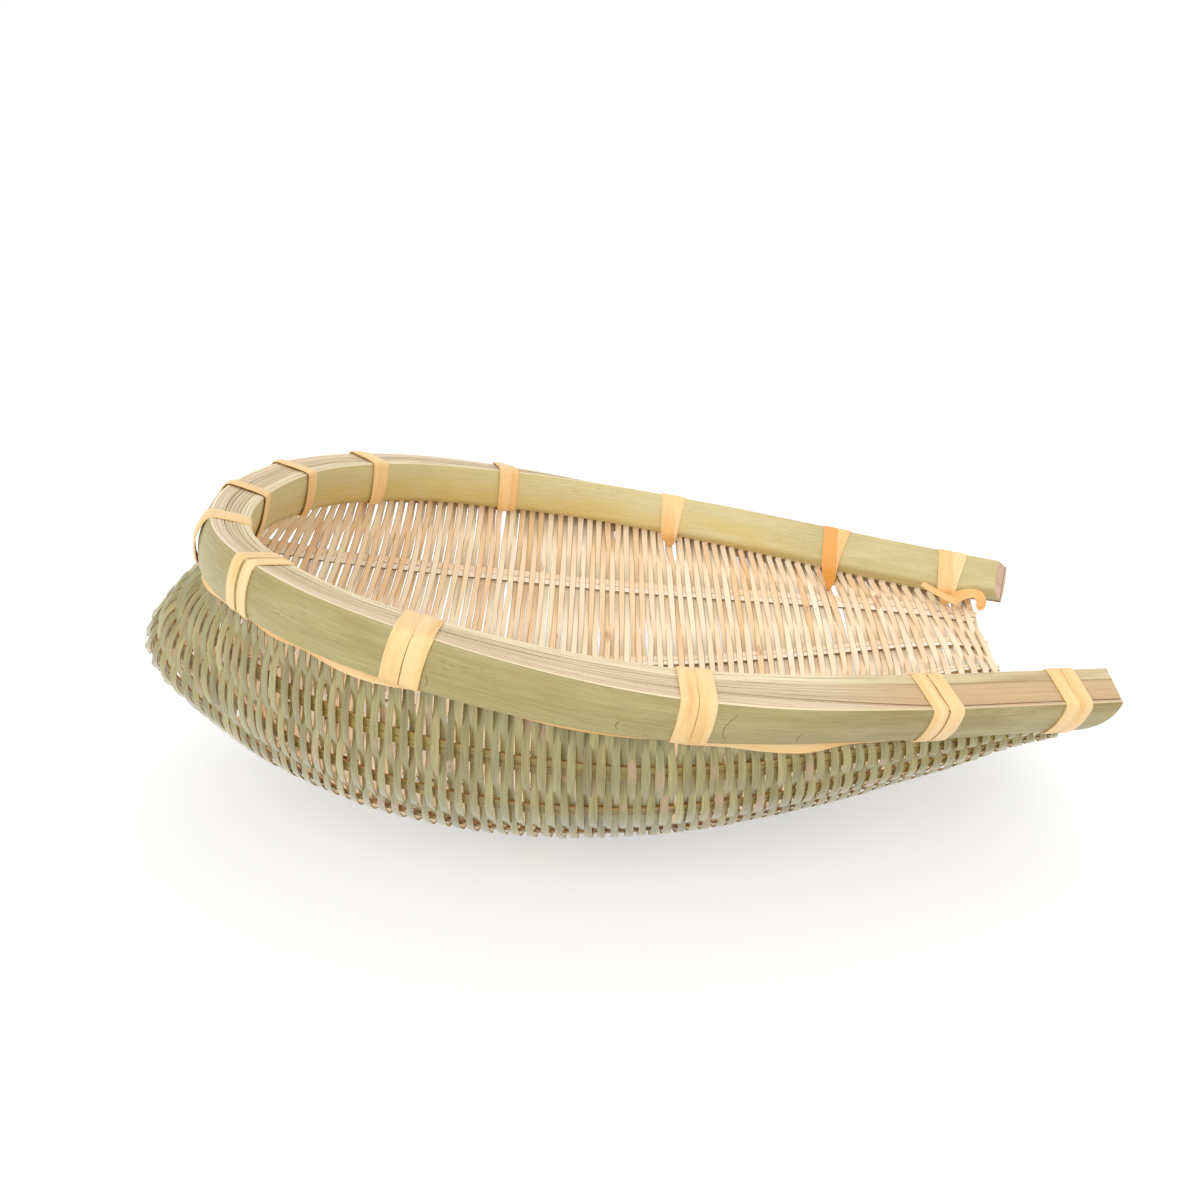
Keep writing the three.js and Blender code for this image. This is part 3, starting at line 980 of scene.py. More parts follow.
@dataclass
class Hoops:
    """The whole outer hoop and the inner hoop, which is split into leaves round the bow.

    The outer hoop thins towards the arms' ends. At the far arm's end both hoops narrow, the top outer
    edge rises and they part a little. Both ends are cut aslant.
    """

    stations: int = 321
    outer_thickness: float = 3.6 * MM
    arm_thickness: float = 1.1 * MM
    thin_until: float = 0.09
    thick_from: float = 0.20
    gap: float = 0.14 * MM
    leaves: int = 7
    kerf: float = 0.15 * MM
    kerf_depth: float = 0.55 * MM
    split_from: float = 0.115
    split_full: float = 0.18
    kerf_least: float = 0.01 * MM
    kerf_narrow: float = 0.35
    edge_round: float = 0.35 * MM
    edge_wobble: float = 0.05 * MM
    edge_fall: float = 0.02 * MM
    leaf_rise: float = 0.2 * MM
    end_cut: float = 6.5 * MM
    far_end_reach: float = 0.8 * MM
    far_end_start: float = 0.12
    far_end_outside: float = 1.5 * MM
    far_end_inside: float = -0.9 * MM
    far_taper: float = 0.2
    far_raise: float = 2.2 * MM
    far_gap: float = 0.6 * MM
    far_gap_length: float = 4.0 * MM
    far_taper_length: float = 17.0 * MM
    crown_shares: tuple[float, ...] = (0.96, 0.86, 0.72, 0.58, 0.42, 0.28, 0.14, 0.04)
    outer_tone: float = 0.31
    inner_tone: float = 0.72
    scar: Slat = Slat(0.13 * MM, 0.05 * MM)
    scar_steps: int = 12
    scar_sink: float = 0.01 * MM
    scar_tip: float = 0.4
    scars: tuple[Scar, ...] = (
        Scar(0.1985, 0.16, 0.86, -1.9 * MM), Scar(0.1675, 0.54, 0.84, -0.9 * MM),
        Scar(0.2440, 0.60, 0.82, -0.7 * MM), Scar(0.3155, 0.62, 0.88, 0.7 * MM))
    materials: dict[str, bpy.types.Material] = field(default_factory=dict)

    def dress(self) -> None:
        """Makes the hoops' finishes."""
        height = RIM.hoop_height
        self.materials["outer_skin"] = HoopSkin(
            "outer_skin", (164, 152, 105), (170, 158, 108), (147, 131, 79), (176, 165, 123), (92, 74, 40),
            2 * height + 2 * self.outer_thickness, height + 2 * self.outer_thickness).make()
        self.materials["inner_skin"] = HoopSkin(
            "inner_skin", (205, 191, 145), (207, 184, 121), (190, 177, 133), (208, 194, 151), (130, 104, 58),
            RIM.thickness - self.outer_thickness, RIM.thickness - self.outer_thickness + height).make()
        arm = ((0.0, (232, 208, 172)), (0.35, (214, 188, 152)), (0.8, (196, 164, 128)), (1.0, (144, 112, 78)))
        self.materials["outer_cut"] = CutEdge("outer_cut", self.outer_thickness, (
            (0.0, (242, 226, 196)), (0.17, (238, 220, 190)), (0.2, (196, 172, 140)), (0.24, (218, 198, 170)),
            (0.62, (220, 200, 174)), (0.88, (212, 192, 164)), (1.0, (176, 152, 120))), arm).make()
        self.materials["inner_cut"] = CutEdge("inner_cut", RIM.thickness - self.outer_thickness, (
            (0.0, (202, 182, 150)), (0.3, (212, 194, 162)), (0.6, (206, 188, 156)),
            (0.9, (214, 198, 164)), (1.0, (230, 214, 180))),
            ((0.0, (198, 166, 126)), (0.8, (202, 172, 132)), (0.93, (198, 170, 130)),
             (0.96, (164, 132, 94)), (1.0, (212, 192, 152))), line_share=0.5).make()
        self.materials["crack"] = PlainMark("leaf_crack", (150, 128, 98)).make()
        self.materials["end"] = PlainMark("hoop_end", (190, 160, 132)).make()
        self.materials["scar"] = PlainMark("skin_scar", (78, 56, 30)).make()

    def boundary(self, place: float) -> float:
        """How thick the outer hoop is at a place: it thins towards the arms' ends."""
        thick = smoothstep(self.thin_until, self.thick_from, min(place, 1 - place))
        return lerp(self.arm_thickness, self.outer_thickness, thick)

    def parted(self, place: float) -> float:
        """0 on the unsplit arms and 1 where the leaves stand apart."""
        return smoothstep(self.split_from, self.split_full, min(place, 1 - place))

    def places(self) -> list[float]:
        """The places of the stations."""
        return [i / (self.stations - 1) for i in range(self.stations)]

    def end_shift(self, place: float, across: float, down: float, trim: float) -> Vector:
        """How the ends are cut: the near one along an arc, the far one slanting out and downwards.

        Args:
            place: a corner's place on the rim.
            across: how far inwards it lies.
            down: how far down it lies.
            trim: how much of the near end's arc is cut.

        Returns:
            How far the corner is moved along the rim.
        """
        here = RIM.section(place)
        share = max(0.0, 1 - place * here.speed / self.end_cut)
        fall = min(max(down / RIM.hoop_height, 0.0), 1.0)
        shift = trim * self.end_cut * share * (1 - math.sqrt(1 - fall ** 2))
        far = max(0.0, 1 - (1 - place) * here.speed / self.end_cut)
        slant = lerp(self.far_end_outside, self.far_end_inside, across / RIM.thickness)
        reach = self.far_end_reach * (fall - self.far_end_start) + slant
        return here.along * (shift + reach * far)

    def tapered(self, place: float, across: float, down: float) -> float:
        """How far down a corner lies: on the far arm's end the hoops grow narrower and untwist.

        Args:
            place: its place on the rim.
            across: how far inwards it lies.
            down: how far down it lies on a hoop of full height.

        Returns:
            How far down it lies here.
        """
        left = (1 - place) * RIM.section(place).speed
        end = smoothstep(self.far_taper_length, 0.0, left)
        outward = max(0.0, 1 - across / RIM.thickness)
        upward = max(0.0, 1 - down / RIM.hoop_height)
        return down * (1 - self.far_taper * end) - self.far_raise * end * outward * upward

    def outer_outline(self, place: float) -> list[tuple[float, float]]:
        """Corners of the outer hoop's section.

        Args:
            place: the section's place on the rim.

        Returns:
            Pairs of across and down, from the top outer edge inwards and round.
        """
        height, inner, soft = RIM.hoop_height, self.boundary(place), self.edge_round
        wobble = wander(2.0, place * 40) * self.edge_wobble
        skin = [(-RIM.outer_crown * (1 - (2 * share - 1) ** 2), height * share)
                for share in self.crown_shares]
        return [(soft * 0.6, wobble), (inner - soft * 0.3, wobble), (inner, soft * 0.4),
                (inner, height), (soft * 0.6, height), *skin]

    def outer(self) -> None:
        """Builds the outer hoop with the scars in its skin."""
        count = len(self.outer_outline(0.5))
        slots = [HoopSlot.CUT] * 4 + [HoopSlot.SKIN] * (count - 4)
        blank = Blank(count, self.stations, frozenset(range(5, count)), slots, HoopSlot.END)
        piece = Piece("outer_hoop_slat")
        rings = [[RIM.point(place, a, self.tapered(place, a, d)) + self.end_shift(place, a, d, 1.0)
                  for a, d in self.outer_outline(place)] for place in self.places()]
        piece.lay(blank, rings, self.outer_tone, [self.parted(place) for place in self.places()])
        line = self.scar.blank(self.scar_steps + 1, (HoopSlot.MARK,) * 6, HoopSlot.MARK)
        for scar in self.scars:
            steps = []
            for i in range(self.scar_steps + 1):
                share = i / self.scar_steps
                at = RIM.moved(scar.place, -scar.bow * math.sin(math.pi * share))
                fall = lerp(scar.top, scar.bottom, share)
                proud = RIM.outer_crown * (1 - (2 * fall - 1) ** 2) - self.scar_sink
                here = RIM.section(at)
                middle = RIM.point(at, -proud, RIM.hoop_height * fall)
                width = lerp(self.scar_tip, 1.0, math.sin(math.pi * share))
                steps.append(Step(middle, -here.across, width))
            piece.bend(line, self.scar, steps)
        piece.object([self.materials["outer_skin"], self.materials["outer_cut"],
                      self.materials["scar"], self.materials["end"]], "outer_hoop", "outer_hoop")

    def inner_outline(self, place: float) -> list[tuple[float, float]]:
        """Corners of the inner hoop's section.

        Args:
            place: the section's place on the rim.

        Returns:
            Pairs of across and down, from the top edge at the outer hoop inwards and round.
        """
        height = RIM.hoop_height
        to_end = (1 - place) * RIM.section(place).speed
        apart = self.far_gap * smoothstep(self.far_gap_length, 0.0, to_end)
        start = self.boundary(place) + self.gap + apart
        pitch = (RIM.thickness - start) / self.leaves
        open_ = self.parted(place)
        outline = []
        for leaf in range(self.leaves):
            rise = wander(3.0 + leaf, place * 30) * self.leaf_rise * open_
            left = start + leaf * pitch
            outline += [(left, -rise), (left + pitch - self.kerf * open_ * 0.5, -rise)]
            if leaf < self.leaves - 1:
                wide = smoothstep(-0.35, 0.3, wander(20.0 + leaf, place * 45))
                depth = self.kerf_depth * open_ * lerp(self.kerf_narrow, 1.0, wide) + self.kerf_least
                outline += [(left + pitch - self.kerf * open_ * 0.25, depth)]
        edge, _ = outline.pop()
        outline += [(edge - self.edge_round * 0.5, -self.edge_fall),
                    (RIM.thickness, self.edge_round * 0.6)]
        outline += [(RIM.thickness + RIM.inner_crown * (1 - (2 * share - 1) ** 2), height * share)
                    for share in reversed(self.crown_shares[1:-1])]
        return outline + [(RIM.thickness, height), (start, height)]

    def inner(self) -> None:
        """Builds the inner hoop with its leaves."""
        count = len(self.inner_outline(0.5))
        faces = len(self.crown_shares) - 2
        first = count - 3 - faces
        slots = [HoopSlot.CUT] * first + [HoopSlot.SKIN] * (faces + 2)
        slots += [HoopSlot.CUT] * (count - len(slots))
        for leaf in range(self.leaves - 1):
            slots[3 * leaf + 1] = slots[3 * leaf + 2] = HoopSlot.MARK
        soft = frozenset(range(first + 1, first + 2 + faces))
        blank = Blank(count, self.stations, soft, slots, HoopSlot.END)
        piece = Piece("inner_hoop_leaves")
        rings = [[RIM.point(place, a, self.tapered(place, a, d)) + self.end_shift(place, a, d, 0.0)
                  for a, d in self.inner_outline(place)] for place in self.places()]
        piece.lay(blank, rings, self.inner_tone, [self.parted(place) for place in self.places()])
        piece.object([self.materials["inner_skin"], self.materials["inner_cut"],
                      self.materials["crack"], self.materials["end"]], "inner_hoop", "inner_hoop")


LASHING_SHARES = (0.078, 0.219, 0.434, 0.644, 0.801, 0.905, 1)
LASHING_PLACES = tuple(share / 2 for share in LASHING_SHARES) + tuple(
    1 - share / 2 for share in reversed(LASHING_SHARES[:-1]))


@dataclass(frozen=True)
class Slit:
    """A gap between two cross strips.

    It has its place on the rim and the strips' push, and it starts and ends at depths below the hoops.
    """

    place: float
    push: float
    start: float = -1.0 * MM
    end: float = 12.0 * MM
    reach: float = 2.4 * MM
    far_reaches: float = 4.0
    closing_share: float = 0.7
    opening_share: float = 0.5

    def shift(self, place: float, depth: float) -> float:
        """How far a strip is pushed along the rim.

        Args:
            place: the strip's place on the rim.
            depth: how far below the hoops.

        Returns:
            The push, away from the gap.
        """
        distance = (place - self.place) * RIM.section(self.place).speed
        if abs(distance) > self.far_reaches * self.reach:
            return 0.0
        length = self.end - max(self.start, 0.0)
        width = smoothstep(self.end, self.end - self.closing_share * length, depth)
        if self.start > 0:
            width *= smoothstep(self.start, self.start + self.opening_share * length, depth)
        return math.copysign(self.push * width * math.exp(-(distance / self.reach) ** 2), distance)


@dataclass
class Body:
    """The woven body: cross strips, lengthwise strips and the strip that edges the lip.

    Cross strips wave about the middle surface by their relief, narrow to their waist half way between
    two rows, and tilt like louvres, the other way round the bow. Changes are pairs of stations between
    which a value goes over to the one that holds at the bow.
    """

    wefts: int = 156
    weft: Slat = Slat(2.12 * MM, 0.42 * MM, 0.12, 0.86)
    warp: Slat = Slat(2.0 * MM, 0.45 * MM)
    warp_spread: float = 1.07 * MM
    warp_shares: tuple[float, ...] = (
        -0.878, -0.743, -0.578, -0.353, -0.117, 0.097, 0.305, 0.548, 0.814)
    lift: float = 0.45 * MM
    bow_lift: float = -0.55 * MM
    relief: float = 0.85 * MM
    rim_relief: float = 0.9 * MM
    rim_shade_reach: float = 5.0 * MM
    louvre: float = math.radians(9)
    bow_louvre: float = math.radians(-28)
    waist: float = 0.14
    wave_power: float = 0.72
    bow_spacing: float = 1.08
    bow_widening: float = -0.04
    steps_per_span: int = 6
    first_station: float = 0.012
    last_station: float = 0.985
    jitter: float = 0.0007
    jittered_limit: float = 0.99
    slanted_limit: float = 0.995
    spacing_samples: int = 400
    rim_weight: float = 0.65
    keel_weight: float = 0.35
    spacing_change: tuple[float, float] = (0.5, 0.8)
    bow_change: tuple[float, float] = (0.66, 0.9)
    widening_change: tuple[float, float] = (0.6, 0.85)
    tuck_heights: tuple[float, ...] = (5.0 * MM, 2.5 * MM)
    tuck_spread: float = 0.8
    tuck_shade: float = 0.8
    swells: tuple[float, float] = (0.82, 1.18)
    sway: float = 0.34 * MM
    sway_pace: float = 2.6
    sway_fade: int = 6
    unevenness: float = 0.12
    uneven_pace: float = 5.0
    row_tilt: float = 0.35
    gap_shade: float = 0.85
    rim_shade: float = 0.08
    shade_limit: float = 0.9
    shade_softness: float = 0.3
    slits: list[Slit] = field(default_factory=lambda: [
        *(Slit(place, 0.45 * MM) for place in LASHING_PLACES),
        Slit(0.6800, 1.2 * MM, end=15 * MM), Slit(0.7880, 1.0 * MM, end=14 * MM),
        Slit(0.8858, 1.1 * MM, end=27 * MM), Slit(0.7686, 0.95 * MM, 30 * MM, 50 * MM),
        Slit(0.7413, 0.7 * MM, 34 * MM, 50 * MM), Slit(0.7472, 0.6 * MM, end=9 * MM),
        Slit(0.6868, 0.7 * MM, 22 * MM, 38 * MM)])
    warp_steps: int = 150
    warp_last: float = 0.965
    warp_rise: float = 0.25 * MM
    warp_drift: float = 0.12 * MM
    warp_lift: float = 0.08 * MM
    warp_end: float = 0.8
    # width of the painted shadow line along the edge of one strip of each lengthwise pair
    warp_shadow_line: float = 0.36 * MM
    lane_tones: tuple[float, float] = (0.15, 0.75)
    tone_range: float = 0.2
    lip_fray: float = 1.8 * MM
    lip_station: float = 0.003
    lip_tone: float = 0.4
    floor_clear: float = 0.2 * MM
    materials: dict[str, bpy.types.Material] = field(default_factory=dict)

    def dress(self) -> None:
        """Makes the strips' finishes."""
        self.materials["core"] = StripFinish(
            "weft_core",
            ((246, 216, 182), (253, 238, 216), (242, 210, 172), (251, 228, 202), (252, 238, 212)),
            stain=(206, 160, 122), shade=(96, 68, 38), stain_from=0.72, roughness=0.55).make()
        self.materials["skin"] = StripFinish(
            "weft_skin",
            ((147, 138, 87), (163, 154, 104), (134, 125, 76), (151, 142, 88), (149, 144, 102)),
            stain=(178, 146, 116), shade=(96, 84, 50), stain_from=0.665, roughness=0.34, coat=0.42,
            shaded=0.25).make()
        self.materials["edge"] = StripFinish(
            "weft_edge", ((216, 190, 144), (206, 180, 130), (226, 202, 160)),
            stain=(170, 128, 84), shade=(96, 70, 40), stain_from=0.72, roughness=0.6).make()
        # the lengthwise strips' core: its shade colour paints a shadow line along the edge of one strip of
        # each pair
        self.materials["warp_core"] = StripFinish(
            "warp_core", ((255, 246, 232), (254, 240, 222), (250, 224, 196)),
            stain=(206, 170, 128), shade=(120, 94, 58), stain_from=0.8, roughness=0.5, shaded=0.0,
            shadow_line_from=self.warp.width - self.warp_shadow_line).make()
        self.materials["warp_skin"] = StripFinish(
            "warp_skin", ((150, 136, 76), (164, 148, 86), (142, 124, 66)),
            stain=(128, 94, 52), shade=(96, 80, 44), stain_from=0.66, roughness=0.4, shaded=0.0).make()
        self.materials["warp_edge"] = StripFinish(
            "warp_edge", ((166, 116, 66), (184, 138, 84)),
            stain=(120, 86, 50), shade=(96, 70, 40), stain_from=0.7, roughness=0.6, shaded=0.0).make()

    def strip_blank(self, stations: int) -> Blank:
        """The straight prism of a strip: core inside, skin outside and cut edges."""
        slots = (StripSlot.CORE, StripSlot.EDGE, *(StripSlot.SKIN,) * 3, StripSlot.EDGE)
        return Slat.blank(stations, slots, StripSlot.EDGE)

    def weft_blank(self) -> Blank:
        """The straight prism of a cross strip."""
        return self.strip_blank(4 + (len(self.warp_shares) + 1) * self.steps_per_span + 1)

    def weft_materials(self) -> list[bpy.types.Material]:
        """The materials of a cross strip."""
        return [self.materials[name] for name in ("core", "skin", "edge")]

    def stations(self) -> list[float]:
        """Spaces the cross strips evenly along the hoops and the keel together.

        Returns:
            Their stations, from the lip to the bow.
        """
        count = self.spacing_samples
        marks = [lerp(self.first_station, self.last_station, i / count) for i in range(count + 1)]
        lengths = [0.0]
        for before, after in zip(marks, marks[1:]):
            rim = (WEAVE.line(after).hang - WEAVE.line(before).hang).length
            keel = (WEAVE.line(after).keel - WEAVE.line(before).keel).length
            spacing = lerp(1.0, self.bow_spacing, smoothstep(*self.spacing_change, after))
            lengths.append(lengths[-1] + (self.rim_weight * rim + self.keel_weight * keel) / spacing)
        result, i = [], 0
        for k in range(self.wefts):
            target = lengths[-1] * k / (self.wefts - 1)
            while i < count - 1 and lengths[i + 1] < target:
                i += 1
            share = (target - lengths[i]) / (lengths[i + 1] - lengths[i])
            result.append(lerp(marks[i], marks[i + 1], min(share, 1.0)))
        return result

    def push(self, station: float, side: Side, depth: float) -> float:
        """How far a cross strip is pushed towards the bow, beside the gaps in the weave."""
        place = WEAVE.hang_place(station, side)
        return -side * sum(slit.shift(place, depth) for slit in self.slits)

    def tuck(self, index: int, station: float, side: Side) -> list[Step]:
        """The steps of a cross strip in the slot between the hoops.

        Args:
            index: the strip's count from the lip.
            station: its station.
            side: the basket's side.

        Returns:
            The steps, from its end downwards.
        """
        rows = 0 if side is Side.NEAR else len(self.warp_shares) + 1
        sign = 1 if (index + rows) % 2 else -1
        place = WEAVE.hang_place(station, side)
        here = RIM.section(place)
        across = WEAVE.tuck_across + sign * self.rim_relief * self.tuck_spread
        return [Step(RIM.point(place, across, RIM.hoop_height - height), -here.across,
                     shade=self.tuck_shade) for height in self.tuck_heights]

    def weft_steps(self, index: int, station: float, rng: random.Random) -> list[Step]:
        """The route of one cross strip from slot to slot.

        Args:
            index: its count from the lip, which says where it goes over and under.
            station: its station on the body.
            rng: the source of its small irregularities.

        Returns:
            The steps of its route.
        """
        rows = (-1.0, *self.warp_shares, 1.0)
        seed = rng.uniform(0, 100)
        swell = rng.uniform(*self.swells)
        steps = self.tuck(index, station, Side.NEAR)
        for j, (start, end) in enumerate(zip(rows, rows[1:])):
            last = j == len(rows) - 2
            sign = 1 if (index + j) % 2 else -1
            for i in range(self.steps_per_span + (1 if last else 0)):
                share = i / self.steps_per_span
                wave = math.cos(math.pi * share)
                wave = math.copysign(abs(wave) ** self.wave_power, wave)
                at_start = self.rim_relief if j == 0 else self.relief * swell
                at_end = self.rim_relief if last else self.relief * swell
                offset = sign * lerp(at_start, at_end, share) * wave
                steps.append(self.weft_step(station, lerp(start, end, share), offset,
                                            math.sin(math.pi * share), seed))
        return steps + self.tuck(index, station, Side.FAR)[::-1]

    def weft_step(self, station: float, across: float, offset: float, swap: float,
                  seed: float) -> Step:
        """One step of a cross strip below the hoops.

        Args:
            station: the strip's station at the hoops.
            across: how far across the body the step is.
            offset: how far the step is inside of the middle surface.
            swap: 1 half way between two rows, where it changes sides, and 0 at a row.
            seed: the strip's own seed.

        Returns:
            The step.
        """
        here = min(WEAVE.slanted(station, across), self.slanted_limit)
        inside, forward = WEAVE.facing(here, across)
        middle = WEAVE.point(here, across)
        side = Side.NEAR if across < 0 else Side.FAR
        depth = (WEAVE.point(station, float(side)) - middle).length
        bow = smoothstep(*self.bow_change, station)
        shift = self.sway * wander(seed, across * self.sway_pace) * (1 - abs(across) ** self.sway_fade)
        shift += self.push(station, side, depth)
        lift = lerp(self.lift, self.bow_lift, bow)
        middle = middle + inside * (offset + lift) + forward * shift
        middle.z = max(middle.z, self.floor_clear + self.weft.thickness / 2)
        tilt = lerp(self.louvre, self.bow_louvre, bow) * lerp(self.row_tilt, 1.0, swap)
        width = 1 - self.waist * swap + self.unevenness * wander(seed + 3, across * self.uneven_pace)
        width *= 1 + self.bow_widening * smoothstep(*self.widening_change, station)
        under = smoothstep(self.rim_shade_reach, 0.0, depth)
        outside = smoothstep(self.shade_softness, -self.shade_softness, offset / self.rim_relief)
        shade = under * outside * self.gap_shade + self.rim_shade * under
        return Step(middle, -inside, width, tilt, min(shade, self.shade_limit))

    def weave(self) -> None:
        """Builds the cross strips."""
        blank = self.weft_blank()
        rng = random.Random(41)
        piece = Piece("cross_strips")
        for index, station in enumerate(self.stations()):
            jittered = station + rng.uniform(-1, 1) * self.jitter
            held = min(max(jittered, self.first_station), self.jittered_limit)
            steps = self.weft_steps(index, held, rng)
            piece.bend(blank, self.weft, steps, rng.random())
        piece.object(self.weft_materials(), "weft", "weft_skin")

    def warps(self) -> None:
        """Builds the lengthwise strips, a pair for each row."""
        blank = self.strip_blank(self.warp_steps + 1)
        finishes = [self.materials[name] for name in ("warp_core", "warp_skin", "warp_edge")]
        rng = random.Random(7)
        for row, share in enumerate(self.warp_shares):
            piece = Piece(f"lengthwise_pair_{row + 1:02d}")
            for lane, tone in zip((-1, 1), self.lane_tones):
                seed, fray = rng.uniform(0, 100), rng.uniform(-0.2, 1.0) * self.lip_fray
                first = WEAVE.slanted(0.0, share)
                steps = []
                for i in range(self.warp_steps + 1):
                    station = lerp(first, self.warp_last, i / self.warp_steps)
                    steps.append(self.warp_step(station, share, lane, seed))
                edge = steps[1].middle - steps[0].middle
                start = steps[0].middle - edge.normalized() * fray
                steps[0] = Step(start, steps[0].facing, self.warp_end, shade=steps[0].shade)
                if share < 0:
                    steps.reverse()
                piece.bend(blank, self.warp, steps, tone + self.tone_range * rng.random())
            piece.object(finishes, "warp", f"warp_{row + 1:02d}")

    def warp_step(self, station: float, share: float, lane: int, seed: float) -> Step:
        """One step of a lengthwise strip.

        Args:
            station: how far from the lip to the bow.
            share: the share across of its row.
            lane: -1 or 1, the strip's place in its pair.
            seed: the strip's own seed.

        Returns:
            The step.
        """
        inside, forward = WEAVE.facing(station, share)
        over = forward.cross(inside)
        spread = lane * self.warp_spread + wander(seed, station * 14) * self.warp_drift
        lift = lerp(self.lift, self.bow_lift, smoothstep(*self.bow_change, station))
        offset = lift + self.warp_rise + wander(seed + 9, station * 60) * self.warp_lift
        middle = WEAVE.point(station, share) + inside * offset + over * spread
        middle.z = max(middle.z, self.floor_clear + self.warp.thickness)
        # shade marks the strip of each pair that carries the painted shadow line along its edge
        return Step(middle, -inside, shade=float(lane * share < 0))

    def lip(self) -> None:
        """Builds the strip that edges the lip."""
        piece = Piece("lip_strip")
        steps = self.weft_steps(1, self.lip_station, random.Random(5))
        piece.bend(self.weft_blank(), self.weft, steps, self.lip_tone)
        piece.object(self.weft_materials(), "weft", "lip_weft")


@dataclass(frozen=True)
class Wrap:
    """How one lashing differs: all lengths along the rim count towards the far arm's end.

    Its fields are the strips' width, the split between the two turns, the lashing's shift, and how much
    further each turn goes from edge to edge on top, down the inner face and down the outer face. Meet is
    the share of the turns' distance that is left below the inner face, where the turn on the closing side
    comes in to the other. Then the dip below the inner hoop, the stand-off at the outer face, and how
    deep the tone of the turn on the bow's side and of the other one is.
    """

    width: float = 3.7 * MM
    split: float = 0.2 * MM
    along: float = 0.0
    lead_top: float = 0.0
    lead_in: float = 0.0
    lead_out: float = 0.0
    meet: float = 0.6
    dip: float = 1.6 * MM
    stand_off: float = 0.0
    shades: tuple[float, float] = (0.0, 0.0)


